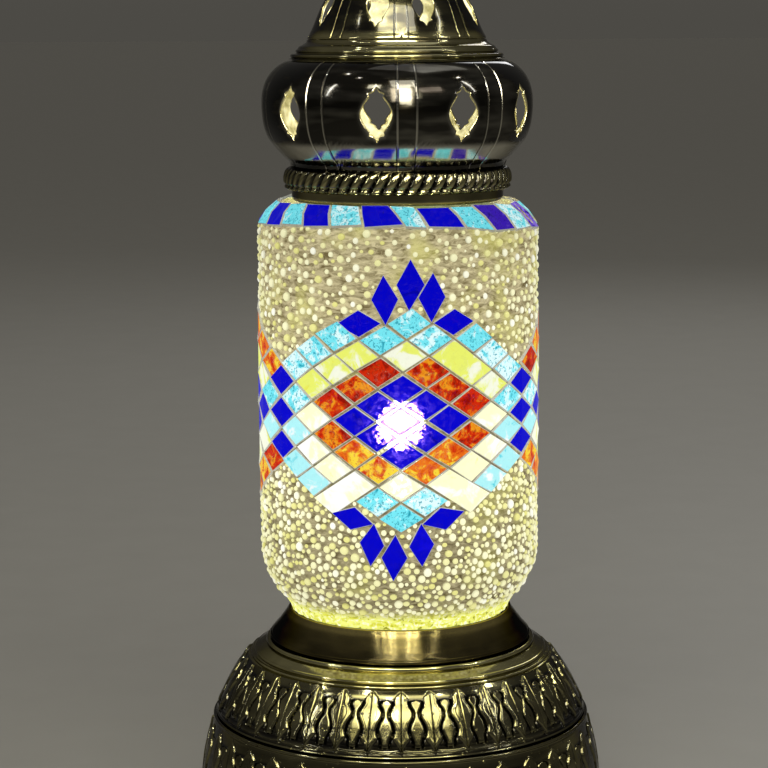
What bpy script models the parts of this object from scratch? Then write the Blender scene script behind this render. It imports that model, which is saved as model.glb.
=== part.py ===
"""Mosaic glass table lamp: a two-tier fluted bronze base, a glass pillar laid with a tile mosaic over a
bead and grout skin, and a pierced bronze cap with a turned finial. Millimetres below, metres in Blender.
The lamp stands on the XY plane with its axis on Z, and its front faces -Y."""

import math

import bmesh
import bpy
from mathutils import Vector

MM = 0.001
GAP = 0.3
WALL = 1.3

# Driving sizes
FOOT_RADIUS = 83.0
SKIRT_TOP = 45.6
DOME_TOP = 75.8
COLLAR_TOP = 90.0
GLASS_RADIUS = 51.5
GLASS_WALL = 2.6
GLASS_FOOT = 80.3
GLASS_LIP = 262.0
COAT_RADIUS = 53.0
TILE_RADIUS = 54.9
MEDALLION_HEIGHT = 171.0
CAP_AXIS_LEVEL = 250.0
COLLAR_BAND_LEVEL = 250.3
ROPE_LEVEL = 254.2
DRUM_LEVEL = 264.3
LEDGE_LEVEL = 304.6
CROWN_LEVEL = 312.4
FINIAL_LEVEL = 346.2
BULB_HEIGHT = 160.0
BULB_RADIUS = 22.5
TUBE_RADIUS = 5.0
CORD_HOLE_LEVEL = 10.6

# Repeats round the lamp
LEAVES = 36
DRUM_PANELS = 9
ROPE_BEADS = 60
SHOULDER_TILES = 26
MEDALLIONS = {"front": 0.0, "right": 120.0, "left": -120.0}

# The mosaic's lattice: rhombus tiles, half a tile wide and half a tile high per step
TILE_STEP = 10.0
TILE_RISE = 6.15
TILE_INSET = 0.93
# A panel's middle lies half a step to the left of its medallion's, and it stops short of the next panel
PANEL_OFFSET = TILE_STEP / 2
PANEL_SHRINK = 0.994
# A petal's half width and half height, then where the three at each end stand, in degrees and in height
PETAL_HALF = (5.35, 9.65)
PETALS = {
    "top": ((0.0, 53.6), (-10.0, 47.9), (10.0, 47.9)),
    "bottom": ((0.0, -53.6), (-10.0, -47.9), (10.0, -47.9)),
}

# The pierced holes were struck by hand, so their azimuths are a little uneven: one to each panel
DRUM_HOLES = (27.8, 63.9, 108.4, 148.4, 188.4, 228.4, 268.4, 309.2, 351.2)
CROWN_HOLES = (20.0, 73.0, 115.0, 167.0, 211.0, 250.0, 294.0, 345.5)


def clear_scene():
    for thing in list(bpy.data.objects):
        bpy.data.objects.remove(thing, do_unlink=True)


def finish(name, colour, roughness, metallic=0.0, transmission=0.0):
    material = bpy.data.materials.new(name)
    material.use_nodes = True
    shader = material.node_tree.nodes["Principled BSDF"]
    shader.inputs["Base Color"].default_value = (*colour, 1.0)
    shader.inputs["Roughness"].default_value = roughness
    shader.inputs["Metallic"].default_value = metallic
    shader.inputs["Transmission Weight"].default_value = transmission
    material.diffuse_color = (*colour, 1.0)
    return material


def add(name, mesh, material, level=0.0, parent=None):
    """One named piece, its origin on the lamp's axis at this height."""
    piece = bpy.data.objects.new(name, mesh)
    bpy.context.scene.collection.objects.link(piece)
    mesh.materials.append(material)
    height = level * MM
    if parent:
        piece.parent = parent
        height -= parent.location.z
    piece.location = (0.0, 0.0, height)
    return piece


def axis_empty(name, level):
    """The frame that a moving body hangs on, on its joint's axis."""
    empty = bpy.data.objects.new(name, None)
    empty.location = (0.0, 0.0, level * MM)
    bpy.context.scene.collection.objects.link(empty)
    return empty


def turned(name, outline, material, level=0.0, parent=None, steps=30):
    """A (radius, height) outline turned round the axis: down its outer side, then up the inside."""
    mesh = bpy.data.meshes.new(name)
    points = [(radius * MM, 0.0, height * MM) for radius, height in outline]
    edges = [(i, i + 1) for i in range(len(points) - 1)]
    if outline[0][0] > 0:
        edges.append((len(points) - 1, 0))
    mesh.from_pydata(points, edges, [])
    piece = add(name, mesh, material, level, parent)
    screw = piece.modifiers.new("Turn", "SCREW")
    screw.steps = steps
    screw.render_steps = steps
    screw.use_merge_vertices = True
    screw.merge_threshold = 1e-6
    screw.use_smooth_shade = True
    return piece


def polar(radius, azimuth, height):
    """A point at this azimuth in degrees, 0 at the front and growing towards +X."""
    angle = math.radians(azimuth)
    return Vector((radius * math.sin(angle), -radius * math.cos(angle), height)) * MM


def ringed(name, rings, material, level=0.0, parent=None):
    """A closed skin over rings of points, down the outer side and up the inside."""
    shape = bmesh.new()
    rows = [[shape.verts.new(point) for point in ring] for ring in rings]
    around = len(rows[0])
    for upper, lower in zip(rows, rows[1:] + rows[:1]):
        for k in range(around):
            following = (k + 1) % around
            shape.faces.new((upper[k], lower[k], lower[following], upper[following]))
    mesh = bpy.data.meshes.new(name)
    shape.to_mesh(mesh)
    shape.free()
    mesh.shade_smooth()
    mesh.set_sharp_from_angle(angle=math.radians(35))
    return add(name, mesh, material, level, parent)


def prism_cutter(name, outline, azimuths, level, inner, outer):
    """A hidden cutter: the (width, height) outline pushed outwards through the wall at each azimuth."""
    shape = bmesh.new()
    for azimuth in azimuths:
        out = polar(1.0, azimuth, 0.0)
        across = polar(1.0, azimuth + 90.0, 0.0)
        near = [shape.verts.new(out * inner + across * w + Vector((0, 0, h * MM))) for w, h in outline]
        far = [shape.verts.new(out * outer + across * w + Vector((0, 0, h * MM))) for w, h in outline]
        shape.faces.new(near)
        shape.faces.new(far)
        for k in range(len(outline)):
            following = (k + 1) % len(outline)
            shape.faces.new((near[k], near[following], far[following], far[k]))
    bmesh.ops.recalc_face_normals(shape, faces=shape.faces)
    mesh = bpy.data.meshes.new(name)
    shape.to_mesh(mesh)
    shape.free()
    cutter = bpy.data.objects.new(name, mesh)
    cutter.location = (0.0, 0.0, level * MM)
    cutter.hide_render = True
    cutter.display_type = "WIRE"
    bpy.context.scene.collection.objects.link(cutter)
    return cutter


def cut(piece, cutter):
    boolean = piece.modifiers.new("Cut " + cutter.name, "BOOLEAN")
    boolean.operation = "DIFFERENCE"
    boolean.solver = "EXACT"
    boolean.object = cutter


def disc(outer, inner, low, high):
    """The outline of a flat washer or disc."""
    return [(outer, high), (outer, low), (inner, low), (inner, high)]


def nut(name, across, bore, low, high, material, level=0.0, parent=None):
    """A hexagon nut with a round bore, from rings of twelve points."""
    corner = across / 2 / math.cos(math.radians(30))
    outside = [corner if k % 2 == 0 else across / 2 for k in range(12)]
    sides = ((outside, high), (outside, low), ([bore] * 12, low), ([bore] * 12, high))
    rings = [[polar(radii[k], 30.0 * k, height) for k in range(12)] for radii, height in sides]
    return ringed(name, rings, material, level, parent)


# Finishes, as the photograph shows them: colour, roughness, metal share, share of light let through
FINISHES = {
    "antique_bronze": ((0.065, 0.055, 0.036), 0.22, 1.0, 0.0),
    "brushed_bronze": ((0.21, 0.18, 0.11), 0.3, 1.0, 0.0),
    "zinc_steel": ((0.55, 0.55, 0.53), 0.35, 1.0, 0.0),
    "cast_iron": ((0.06, 0.06, 0.06), 0.6, 0.6, 0.0),
    "felt": ((0.05, 0.05, 0.05), 0.95, 0.0, 0.0),
    "rubber": ((0.03, 0.03, 0.03), 0.7, 0.0, 0.0),
    "clear_glass": ((0.92, 0.95, 0.93), 0.05, 0.0, 1.0),
    "bead_grout": ((0.66, 0.63, 0.50), 0.7, 0.0, 0.0),
    "mosaic_tile": ((0.05, 0.08, 0.55), 0.12, 0.0, 0.0),
    "petal_tile": ((0.01, 0.01, 0.50), 0.12, 0.0, 0.0),
    "ring_tile": ((0.10, 0.55, 0.68), 0.12, 0.0, 0.0),
    "holder_plastic": ((0.82, 0.80, 0.74), 0.4, 0.0, 0.0),
    "contact_brass": ((0.75, 0.58, 0.27), 0.3, 1.0, 0.0),
    "opal_glass": ((0.95, 0.94, 0.90), 0.25, 0.0, 0.3),
    "lamp_cap_metal": ((0.70, 0.70, 0.68), 0.3, 1.0, 0.0),
}


def fluted(name, rows, inside, finish_name):
    """A pressed shell with LEAVES leaves round it. A row is (radius, height, leaf height, groove depth)."""
    around = LEAVES * 2
    step = 360.0 / around
    rings = []
    for radius, height, leaf, groove in rows:
        rings.append([polar(radius + (-groove if k % 2 else leaf), k * step, height) for k in range(around)])
    for radius, height in inside:
        rings.append([polar(radius, k * step, height) for k in range(around)])
    return ringed(name, rings, SHELF[finish_name])


def base_shells():
    dome = (
        (50.6, DOME_TOP, 0, 0),
        (53.4, DOME_TOP - 0.3, 0, 0),
        (54.0, 73.8, 0, 0),
        (57.4, 71.6, 0, 0),
        (59.6, 69.4, 0, 0),
        (62.0, 67.8, 0.0, 0.6),
        (64.6, 64.4, 0.8, 0.9),
        (68.4, 58.4, 1.0, 0.9),
        (71.2, 53.0, 0.8, 0.9),
        (72.8, 49.4, 0, 0.3),
        (73.8, 46.3, 0, 0),
    )
    fluted("base_dome", dome, ((71.6, 46.3), (65.4, 58.4), (50.6, 73.2)), "antique_bronze")
    skirt = (
        (72.0, SKIRT_TOP, 0, 0),
        (74.9, SKIRT_TOP - 0.3, 0, 0),
        (75.4, 42.6, 0, 0),
        (76.3, 38.5, 0.8, 0.9),
        (78.4, 31.0, 1.0, 1.0),
        (79.4, 23.0, 0.9, 0.9),
        (81.1, 15.4, 0, 0),
        (81.3, 5.6, 0, 0),
        (FOOT_RADIUS, 4.2, 0, 0),
        (FOOT_RADIUS, 0.7, 0, 0),
    )
    inside = ((80.0, 0.7), (80.0, 15.8), (77.2, 23.5), (72.0, 43.2))
    shell = fluted("base_skirt", skirt, inside, "antique_bronze")
    bore = [(4.1 * math.cos(math.radians(30 * k)), 4.1 * math.sin(math.radians(30 * k))) for k in range(12)]
    cut(shell, prism_cutter("cord_hole_cutter", bore, [180.0], CORD_HOLE_LEVEL, 70.0, 90.0))


def cord_grommet():
    """The rubber bush in the back of the skirt: its flanges hold the wall between them."""
    outline = (
        (4.4, 82.9),
        (4.4, 81.6),
        (3.7, 81.6),
        (3.7, 79.6),
        (4.4, 79.6),
        (4.4, 78.3),
        (3.1, 78.3),
        (3.1, 82.9),
    )
    shape = turned("cord_grommet", outline, SHELF["rubber"], 0.0, None, 16)
    shape.location.z = CORD_HOLE_LEVEL * MM
    shape.rotation_euler = (math.radians(-90.0), 0.0, 0.0)


def base_fittings():
    turned("foot_pad", disc(79.0, 60.0, 0.0, 3.2), SHELF["felt"])
    turned("bottom_plate", disc(79.4, 5.5, 3.5, 4.7), SHELF["zinc_steel"])
    nut("tube_nut_bottom", 14.0, TUBE_RADIUS + 0.2, 0.5, 2.6, SHELF["zinc_steel"])
    turned("tube_washer_bottom", disc(9.0, 5.4, 2.8, 3.3), SHELF["zinc_steel"], steps=20)
    weight = ((56.0, 16.0), (58.0, 14.0), (58.0, 5.1), (5.6, 5.1), (5.6, 16.0))
    turned("ballast_weight", weight, SHELF["cast_iron"], steps=24)
    turned("stem_tube", disc(TUBE_RADIUS, 4.0, 0.8, 96.5), SHELF["zinc_steel"], steps=16)
    collar = (
        (44.3, COLLAR_TOP),
        (45.8, 85.6),
        (47.4, 82.3),
        (49.4, 79.8),
        (52.2, 77.8),
        (52.8, DOME_TOP + GAP),
        (46.0, DOME_TOP + GAP),
        (46.0, 77.1),
        (50.0, 77.6),
        (46.1, 81.7),
        (44.5, 84.8),
        (43.3, 88.6),
        (43.2, COLLAR_TOP),
    )
    turned("base_collar", collar, SHELF["brushed_bronze"])
    turned("glass_seat", disc(48.8, 5.5, 77.7, 78.7), SHELF["zinc_steel"])
    turned("glass_gasket", disc(42.6, 38.6, 79.0, GLASS_FOOT - GAP), SHELF["felt"])
    turned("tube_washer_top", disc(10.0, 5.4, 79.0, 79.8), SHELF["zinc_steel"], steps=20)
    nut("tube_nut_top", 14.0, TUBE_RADIUS + 0.2, 80.1, 83.4, SHELF["zinc_steel"])
    cord_grommet()


def lamp_holder():
    """A small screw holder on the tube's end: cup, shell, core, thread sleeve and centre contact."""
    cup = ((13.2, 99.6), (13.2, 96.0), (9.0, 89.0), (5.3, 89.0), (5.3, 97.0), (11.4, 97.0), (11.4, 99.6))
    turned("holder_cup", cup, SHELF["holder_plastic"], steps=20)
    shell = ((13.6, 128.6), (13.6, 126.6), (12.8, 126.0), (13.2, 99.9), (11.6, 99.9), (11.6, 128.6))
    turned("holder_shell", shell, SHELF["holder_plastic"], steps=20)
    turned("holder_core", disc(11.2, 2.0, 100.0, 103.8), SHELF["holder_plastic"], steps=20)
    turned("thread_sleeve", disc(8.1, 7.4, 104.1, 127.4), SHELF["contact_brass"], steps=20)
    contact = ((0.0, 105.2), (2.6, 105.0), (2.6, 104.4), (1.6, 104.1), (1.6, 100.6), (0.0, 100.6))
    turned("centre_contact", contact, SHELF["contact_brass"], steps=12)


def glass_pillar():
    outer = (
        (38.2, GLASS_LIP),
        (38.2, 252.0),
        (38.6, 249.0),
        (41.0, 246.9),
        (46.6, 243.3),
        (50.6, 238.5),
        (GLASS_RADIUS, 234.5),
        (GLASS_RADIUS, 110.0),
        (50.2, 105.0),
        (47.4, 100.0),
        (43.8, 95.0),
        (42.4, 90.4),
        (41.8, GLASS_FOOT),
    )
    inner = (
        (39.2, GLASS_FOOT),
        (39.8, 91.0),
        (41.4, 96.5),
        (45.0, 101.6),
        (47.8, 106.4),
        (GLASS_RADIUS - GLASS_WALL, 111.0),
        (GLASS_RADIUS - GLASS_WALL, 233.8),
        (48.2, 237.2),
        (44.8, 241.4),
        (39.6, 244.6),
        (36.0, 247.8),
        (35.6, 251.0),
        (35.6, GLASS_LIP),
    )
    turned("glass_pillar", outer + inner, SHELF["clear_glass"])
    coat = (
        (52.4, 237.0),
        (COAT_RADIUS, 234.5),
        (COAT_RADIUS, 110.4),
        (52.0, 105.2),
        (49.4, 100.2),
        (46.0, 95.4),
        (43.8, 90.6),
        (42.9, 90.6),
        (44.3, 95.0),
        (47.9, 100.0),
        (50.7, 105.0),
        (GLASS_RADIUS + GAP, 110.4),
        (GLASS_RADIUS + GAP, 234.5),
        (51.2, 237.0),
    )
    turned("grout_coat", coat, SHELF["bead_grout"])


def shoulder_ring():
    """Slanted tiles set edge to edge on the glass's shoulder, with a groove between each two."""
    around = SHOULDER_TILES * 3
    sections = (
        (44.2, 250.3, 0.7, 0.0),
        (50.2, 247.7, 1.0, 3.0),
        (54.8, 241.6, 1.2, 6.0),
        (52.0, 237.6, 0.0, 0.0),
        (51.0, 239.8, 0.0, 0.0),
        (41.9, 248.0, 0.0, 0.0),
    )
    rings = []
    for radius, height, groove, lean in sections:
        ring = []
        for k in range(around):
            depth = groove if k % 3 == 0 else 0.0
            ring.append(polar(radius - depth, k * 360.0 / around + lean, height))
        rings.append(ring)
    ringed("shoulder_tile_ring", rings, SHELF["ring_tile"])


def rhombus_tile(shape, corners, centre, point, walled=(True, True, True, True)):
    """One tile on its share of the backing plate. Corners are (azimuth, height), counter-clockwise from the
    top, and only the sides that are walled close the plate: the others run on into the next tile."""
    layers = []
    for radius, scale in ((COAT_RADIUS + GAP, 1.0), (COAT_RADIUS + 0.8, 1.0), (TILE_RADIUS, TILE_INSET)):
        layers.append([point(centre[0] + a * scale, centre[1] + h * scale, radius) for a, h in corners])
    low, middle, high = layers
    shape.faces.new((high[0], high[1], high[2]))
    shape.faces.new((high[0], high[2], high[3]))
    shape.faces.new((low[0], low[2], low[1]))
    shape.faces.new((low[0], low[3], low[2]))
    for k in range(4):
        following = (k + 1) % 4
        shape.faces.new((high[k], middle[k], middle[following], high[following]))
        if walled[k]:
            shape.faces.new((middle[k], low[k], low[following], middle[following]))


def shared_points(shape):
    """A function that makes each vertex once, so that tiles side by side share their corners."""
    made = {}

    def point(azimuth, height, radius):
        key = (round(azimuth, 3), round(height, 3), radius)
        if key not in made:
            made[key] = shape.verts.new(polar(radius, azimuth, MEDALLION_HEIGHT + height))
        return made[key]

    return point


def medallion_cells():
    """The lattice cells of a third of the band: four tiles out from the middle."""
    cells = []
    for column in range(-6, 6):
        for row in range(-6, 7):
            on_lattice = (column + row) % 2 == 0
            if on_lattice and max(abs(column - row), abs(column + row)) <= 8:
                cells.append((column, row))
    return cells


def medallion(name, azimuth):
    """A third of the mosaic band as one panel: its tiles stand on a shared backing."""
    shape = bmesh.new()
    point = shared_points(shape)
    width = TILE_STEP * PANEL_SHRINK
    corners = ((0.0, TILE_RISE), (-width, 0.0), (0.0, -TILE_RISE), (width, 0.0))
    neighbours = ((-1, 1), (-1, -1), (1, -1), (1, 1))
    cells = medallion_cells()
    for column, row in cells:
        turn = (column * TILE_STEP + PANEL_OFFSET) * PANEL_SHRINK - PANEL_OFFSET
        walled = [(column + across, row + up) not in cells for across, up in neighbours]
        rhombus_tile(shape, corners, (azimuth + turn, row * TILE_RISE), point, walled)
    mesh = bpy.data.meshes.new(name)
    shape.to_mesh(mesh)
    shape.free()
    add(name, mesh, SHELF["mosaic_tile"])


def petals():
    """The upright petal tiles that fan out above and below each medallion."""
    half_width, half_height = PETAL_HALF
    half_angle = math.degrees(half_width / TILE_RADIUS)
    corners = ((0.0, half_height), (-half_angle, 0.0), (0.0, -half_height), (half_angle, 0.0))
    for side, azimuth in MEDALLIONS.items():
        for end, places in PETALS.items():
            for number, (turn, rise) in enumerate(places, 1):
                name = f"petal_{side}_{end}_{number}"
                shape = bmesh.new()
                rhombus_tile(shape, corners, (azimuth + turn, rise), shared_points(shape))
                mesh = bpy.data.meshes.new(name)
                shape.to_mesh(mesh)
                shape.free()
                add(name, mesh, SHELF["petal_tile"])


def rope_ring(parent):
    """A twisted bead ring: its section leans from bead to bead."""
    around = ROPE_BEADS
    sections = ((42.6, 9.0), (44.4, 7.0), (44.4, 2.0), (42.6, 0.0), (41.6, 1.0), (41.6, 8.0))
    rings = []
    for index, (radius, height) in enumerate(sections):
        ring = []
        for k in range(around):
            depth = 0.7 if k % 2 and 0 < index < 4 else 0.0
            ring.append(polar(radius - depth, k * 360.0 / around + height * 0.5, height))
        rings.append(ring)
    ringed("rope_ring", rings, SHELF["antique_bronze"], ROPE_LEVEL, parent)


def cap_drum(parent):
    outer = (
        (42.3, 39.7),
        (46.2, 37.6),
        (50.2, 33.4),
        (52.4, 27.0),
        (52.7, 21.0),
        (51.6, 13.4),
        (47.6, 6.4),
        (41.7, 0.0),
    )
    inner = ((40.3, 0.0), (47.2, 8.6), (50.6, 18.0), (50.0, 27.0), (43.8, 36.4), (40.4, 39.7))
    around = DRUM_PANELS * 5
    step = 360.0 / around
    rings = []
    for index, (radius, height) in enumerate(outer):
        depth = 0.6 if 0 < index < len(outer) - 1 else 0.0
        ring = []
        for k in range(around):
            recess = depth if k % 5 < 2 else 0.0
            ring.append(polar(radius - recess, k * step - 0.2, height))
        rings.append(ring)
    for radius, height in inner:
        rings.append([polar(radius - WALL / 2, k * step - 0.2, height) for k in range(around)])
    drum = ringed("cap_drum", rings, SHELF["antique_bronze"], DRUM_LEVEL, parent)
    lozenge = ((0, 10.1), (-2.6, 6.4), (-6.0, 0), (-2.6, -6.4), (0, -10.1), (2.6, -6.4), (6.0, 0), (2.6, 6.4))
    cut(drum, prism_cutter("drum_hole_cutter", lozenge, DRUM_HOLES, DRUM_LEVEL + 20.5, 40.0, 60.0))


def cap_crown(parent):
    outer = (
        (3.3, 33.5),
        (7.8, 33.0),
        (15.0, 29.6),
        (22.3, 22.6),
        (27.8, 15.4),
        (30.7, 9.5),
        (33.2, 3.0),
        (34.6, 0.0),
    )
    inner = ((32.4, 0.0), (28.8, 9.3), (20.4, 21.8), (13.6, 28.2), (3.3, 32.0))
    crown = turned("cap_crown", outer + inner, SHELF["antique_bronze"], CROWN_LEVEL, parent, 32)
    lozenge = ((0, 8.7), (-3.0, 4.6), (-4.25, 0), (-3.0, -4.6), (0, -8.7), (3.0, -4.6), (4.25, 0), (3.0, 4.6))
    cut(crown, prism_cutter("crown_hole_cutter", lozenge, CROWN_HOLES, CROWN_LEVEL + 12.8, 12.0, 40.0))


def cap():
    """The pierced cap: it rests on the glass's lip by the collar's flange and lifts straight off."""
    body = axis_empty("cap_axis", CAP_AXIS_LEVEL)
    collar = (
        (41.4, 13.7),
        (41.2, 12.0),
        (41.2, 0.0),
        (39.4, 0.0),
        (39.4, 12.0),
        (36.0, 12.1),
        (36.0, 13.7),
    )
    turned("cap_collar", collar, SHELF["antique_bronze"], COLLAR_BAND_LEVEL, body)
    rope_ring(body)
    cap_drum(body)
    ledge = (
        (34.8, 7.5),
        (36.2, 6.0),
        (38.8, 4.6),
        (39.6, 3.0),
        (41.2, 2.2),
        (42.2, 0.0),
        (38.0, 0.0),
        (33.0, 5.4),
        (33.0, 7.5),
    )
    turned("cap_ledge", ledge, SHELF["antique_bronze"], LEDGE_LEVEL, body)
    cap_crown(body)
    nut("stud_nut", 8.0, 2.6, 0.0, 3.0, SHELF["zinc_steel"], CROWN_LEVEL + 28.1, body)
    stud = ((0.0, 20.0), (2.3, 20.0), (2.3, 0.0), (0.0, 0.0))
    turned("finial_stud", stud, SHELF["zinc_steel"], CROWN_LEVEL + 26.0, body, 12)
    return body


def finial(parent):
    """A turned cup and spire, screwed down the stud on top of the cap."""
    body = axis_empty("finial_axis", FINIAL_LEVEL)
    body.parent = parent
    body.location.z -= parent.location.z
    cup = ((4.2, 8.0), (6.4, 6.2), (9.0, 2.4), (9.4, 0.0), (2.7, 0.0), (2.7, 8.0))
    base = turned("finial_cup", cup, SHELF["brushed_bronze"], steps=20)
    spire = (
        (0.0, 48.8),
        (1.6, 47.6),
        (2.2, 45.8),
        (1.6, 44.0),
        (1.2, 42.6),
        (2.0, 34.0),
        (3.2, 26.0),
        (4.6, 22.6),
        (3.4, 20.8),
        (5.4, 17.6),
        (6.2, 14.4),
        (5.2, 11.2),
        (4.0, 8.3),
        (2.7, 8.3),
        (2.7, 14.0),
        (0.0, 14.0),
    )
    top = turned("finial_spire", spire, SHELF["brushed_bronze"], steps=20)
    for piece in (base, top):
        piece.parent = body
        piece.location = (0.0, 0.0, 0.0)


def bulb():
    """A small globe bulb: it screws out of the holder and lifts up through the glass's neck."""
    body = axis_empty("bulb_axis", BULB_HEIGHT)
    outer = []
    inner = []
    for degrees in range(90, -61, -30):
        turn = math.radians(degrees)
        outer.append((BULB_RADIUS * math.cos(turn), BULB_RADIUS * math.sin(turn)))
        inner.append(((BULB_RADIUS - 1.0) * math.cos(turn), (BULB_RADIUS - 1.0) * math.sin(turn)))
    outer[0] = (0.0, BULB_RADIUS)
    inner[0] = (0.0, BULB_RADIUS - 1.0)
    outline = outer + [(10.6, -24.0), (10.2, -28.6), (9.2, -28.6), (9.6, -23.6)] + inner[::-1]
    turned("bulb_globe", outline, SHELF["opal_glass"], BULB_HEIGHT, body, 24)
    stem = ((0.0, -2.0), (1.6, -3.0), (2.0, -10.0), (3.4, -20.0), (6.4, -26.0), (6.4, -28.6), (0.0, -28.6))
    turned("bulb_stem", stem, SHELF["opal_glass"], BULB_HEIGHT, body, 12)
    screw_cap = (
        (0.0, -28.9),
        (10.2, -28.9),
        (10.2, -31.0),
        (7.1, -32.2),
        (7.0, -50.0),
        (4.6, -52.6),
        (0.0, -52.6),
    )
    turned("bulb_screw_cap", screw_cap, SHELF["lamp_cap_metal"], BULB_HEIGHT, body, 20)
    contact = ((0.0, -52.9), (2.4, -52.9), (1.8, -54.4), (0.0, -54.4))
    turned("bulb_contact", contact, SHELF["contact_brass"], BULB_HEIGHT, body, 12)


clear_scene()
SHELF = {name: finish(name, *values) for name, values in FINISHES.items()}
base_shells()
base_fittings()
lamp_holder()
glass_pillar()
shoulder_ring()
for side_name, side_azimuth in MEDALLIONS.items():
    medallion("medallion_" + side_name, side_azimuth)
petals()
finial(cap())
bulb()
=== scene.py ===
"""The looks of the mosaic glass table lamp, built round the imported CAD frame. Lengths are in millimetres, and
become metres where a mesh is made. Azimuth 0 is the front, -Y, and grows towards +X."""

import math

import bpy
import numpy as np
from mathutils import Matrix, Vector


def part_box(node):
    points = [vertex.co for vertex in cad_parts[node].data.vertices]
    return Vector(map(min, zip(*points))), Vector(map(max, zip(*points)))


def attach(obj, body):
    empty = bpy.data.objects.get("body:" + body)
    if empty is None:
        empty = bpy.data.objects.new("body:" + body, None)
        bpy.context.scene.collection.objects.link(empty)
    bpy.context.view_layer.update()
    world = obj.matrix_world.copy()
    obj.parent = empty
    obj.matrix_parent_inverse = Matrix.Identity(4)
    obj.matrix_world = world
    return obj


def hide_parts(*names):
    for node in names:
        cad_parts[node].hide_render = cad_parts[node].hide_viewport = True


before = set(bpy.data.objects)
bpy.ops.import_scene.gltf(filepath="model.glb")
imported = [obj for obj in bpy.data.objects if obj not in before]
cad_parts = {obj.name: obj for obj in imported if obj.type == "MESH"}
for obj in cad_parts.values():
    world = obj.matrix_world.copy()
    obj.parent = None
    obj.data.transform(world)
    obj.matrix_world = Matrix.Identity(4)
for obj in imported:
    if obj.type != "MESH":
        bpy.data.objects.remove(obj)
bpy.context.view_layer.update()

MM = 0.001
RNG = np.random.default_rng(29)
STAND, CAP, FINIAL, BULB = "stand", "cap", "finial", "bulb"


# ---------------------------------------------------------------- levels and radii, read from the frame
def span(node):
    """The lowest and highest level of a CAD node, in millimetres."""
    low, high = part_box(node)
    return low.z / MM, high.z / MM


def reach(node):
    """The largest radius of a CAD node, in millimetres."""
    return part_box(node)[1].x / MM


SKIRT_LOW, SKIRT_HIGH = span("base_skirt")
DOME_LOW, DOME_HIGH = span("base_dome")
COLLAR_LOW, COLLAR_HIGH = span("base_collar")
COAT_LOW = span("grout_coat")[0]
RING_LOW, RING_HIGH = span("shoulder_tile_ring")
CAP_LOW = span("cap_collar")[0]
ROPE_LOW, ROPE_HIGH = span("rope_ring")
DRUM_LOW, DRUM_HIGH = span("cap_drum")
LEDGE_LOW, LEDGE_HIGH = span("cap_ledge")
CROWN_LOW, CROWN_HIGH = span("cap_crown")
FINIAL_LOW, FINIAL_HIGH = span("finial_cup")[0], span("finial_spire")[1]
BULB_CENTRE = span("bulb_globe")[1] - reach("bulb_globe")
MEDALLION_LEVEL = sum(span("medallion_front")) / 2

GROUT_RADIUS = reach("grout_coat") + 1.2
TILE_RADIUS = GROUT_RADIUS + 1.0
LEAVES = 36
DRUM_PANELS = 9
CROWN_PANELS = 8
# The pierced holes were struck by hand, so their azimuths are a little uneven: one to each panel
DRUM_HOLES = (27.8, 63.9, 108.4, 148.4, 188.4, 228.4, 268.4, 309.2, 351.2)
CROWN_HOLES = (20.0, 73.0, 115.0, 167.0, 211.0, 250.0, 294.0, 345.5)
ROPE_BEADS = 60
SHOULDER_TILES = 26


# ---------------------------------------------------------------- shapes
def polar(radius, azimuth, height):
    """Points in metres, from arrays of radius, azimuth in degrees and height."""
    angle = np.radians(azimuth)
    radius, angle, height = np.broadcast_arrays(radius, angle, height)
    return np.stack((radius * np.sin(angle), -radius * np.cos(angle), height), axis=-1) * MM


def azimuths(around):
    return np.arange(around) * 360.0 / around


def lengths_along(points):
    """How far along a line of points each of them is."""
    return np.concatenate(([0], np.cumsum(np.linalg.norm(np.diff(points, axis=0), axis=1))))


def link(obj, material, body, replaced):
    """Puts a piece in the scene, riding on its body, with its materials and the nodes that it replaces."""
    bpy.context.scene.collection.objects.link(obj)
    for each in material if isinstance(material, list) else [material]:
        obj.data.materials.append(each)
    if replaced:
        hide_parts(*replaced)
    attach(obj, body)
    return obj


def new_object(name, vertices, faces, sharp=40.0, smooth=True):
    mesh = bpy.data.meshes.new(name)
    mesh.from_pydata(np.asarray(vertices).tolist(), [], faces.tolist() if hasattr(faces, "tolist") else faces)
    if smooth:
        mesh.shade_smooth()
        mesh.set_sharp_from_angle(angle=math.radians(sharp))
    else:
        mesh.shade_flat()
    return bpy.data.objects.new(name, mesh)


def grid_faces(rows, columns):
    """Quads over a grid whose rows run down the outer side and whose columns run all the way round."""
    i, j = np.meshgrid(np.arange(rows - 1), np.arange(columns), indexing="ij")
    k = (j + 1) % columns
    corners = (i * columns + j, (i + 1) * columns + j, (i + 1) * columns + k, i * columns + k)
    return np.stack(corners, axis=-1).reshape(-1, 4)


def put_attribute(obj, name, values):
    attribute = obj.data.attributes.new(name, "FLOAT", "POINT")
    attribute.data.foreach_set("value", np.asarray(values, dtype=np.float32).ravel())


def smooth_curve(points, step):
    """A curve through (radius, height) points, with a sample about every step millimetres."""
    points = np.asarray(points, dtype=float)
    ends = np.vstack((2 * points[0] - points[1], points, 2 * points[-1] - points[-2]))
    curve = []
    for a, b, c, d in zip(ends, ends[1:], ends[2:], ends[3:]):
        count = max(2, int(math.ceil(np.linalg.norm(c - b) / step)))
        t = np.linspace(0, 1, count, endpoint=False)[:, None]
        square, cube = 2 * a - 5 * b + 4 * c - d, 3 * b - a - 3 * c + d
        curve.append(0.5 * (2 * b + (c - a) * t + square * t**2 + cube * t**3))
    curve.append(points[-1:])
    return np.vstack(curve)


def profile(*runs, step=0.8):
    """Smooth runs joined at corners, from the top of the outer side downwards."""
    return np.vstack([smooth_curve(run, step) for run in runs])


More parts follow.
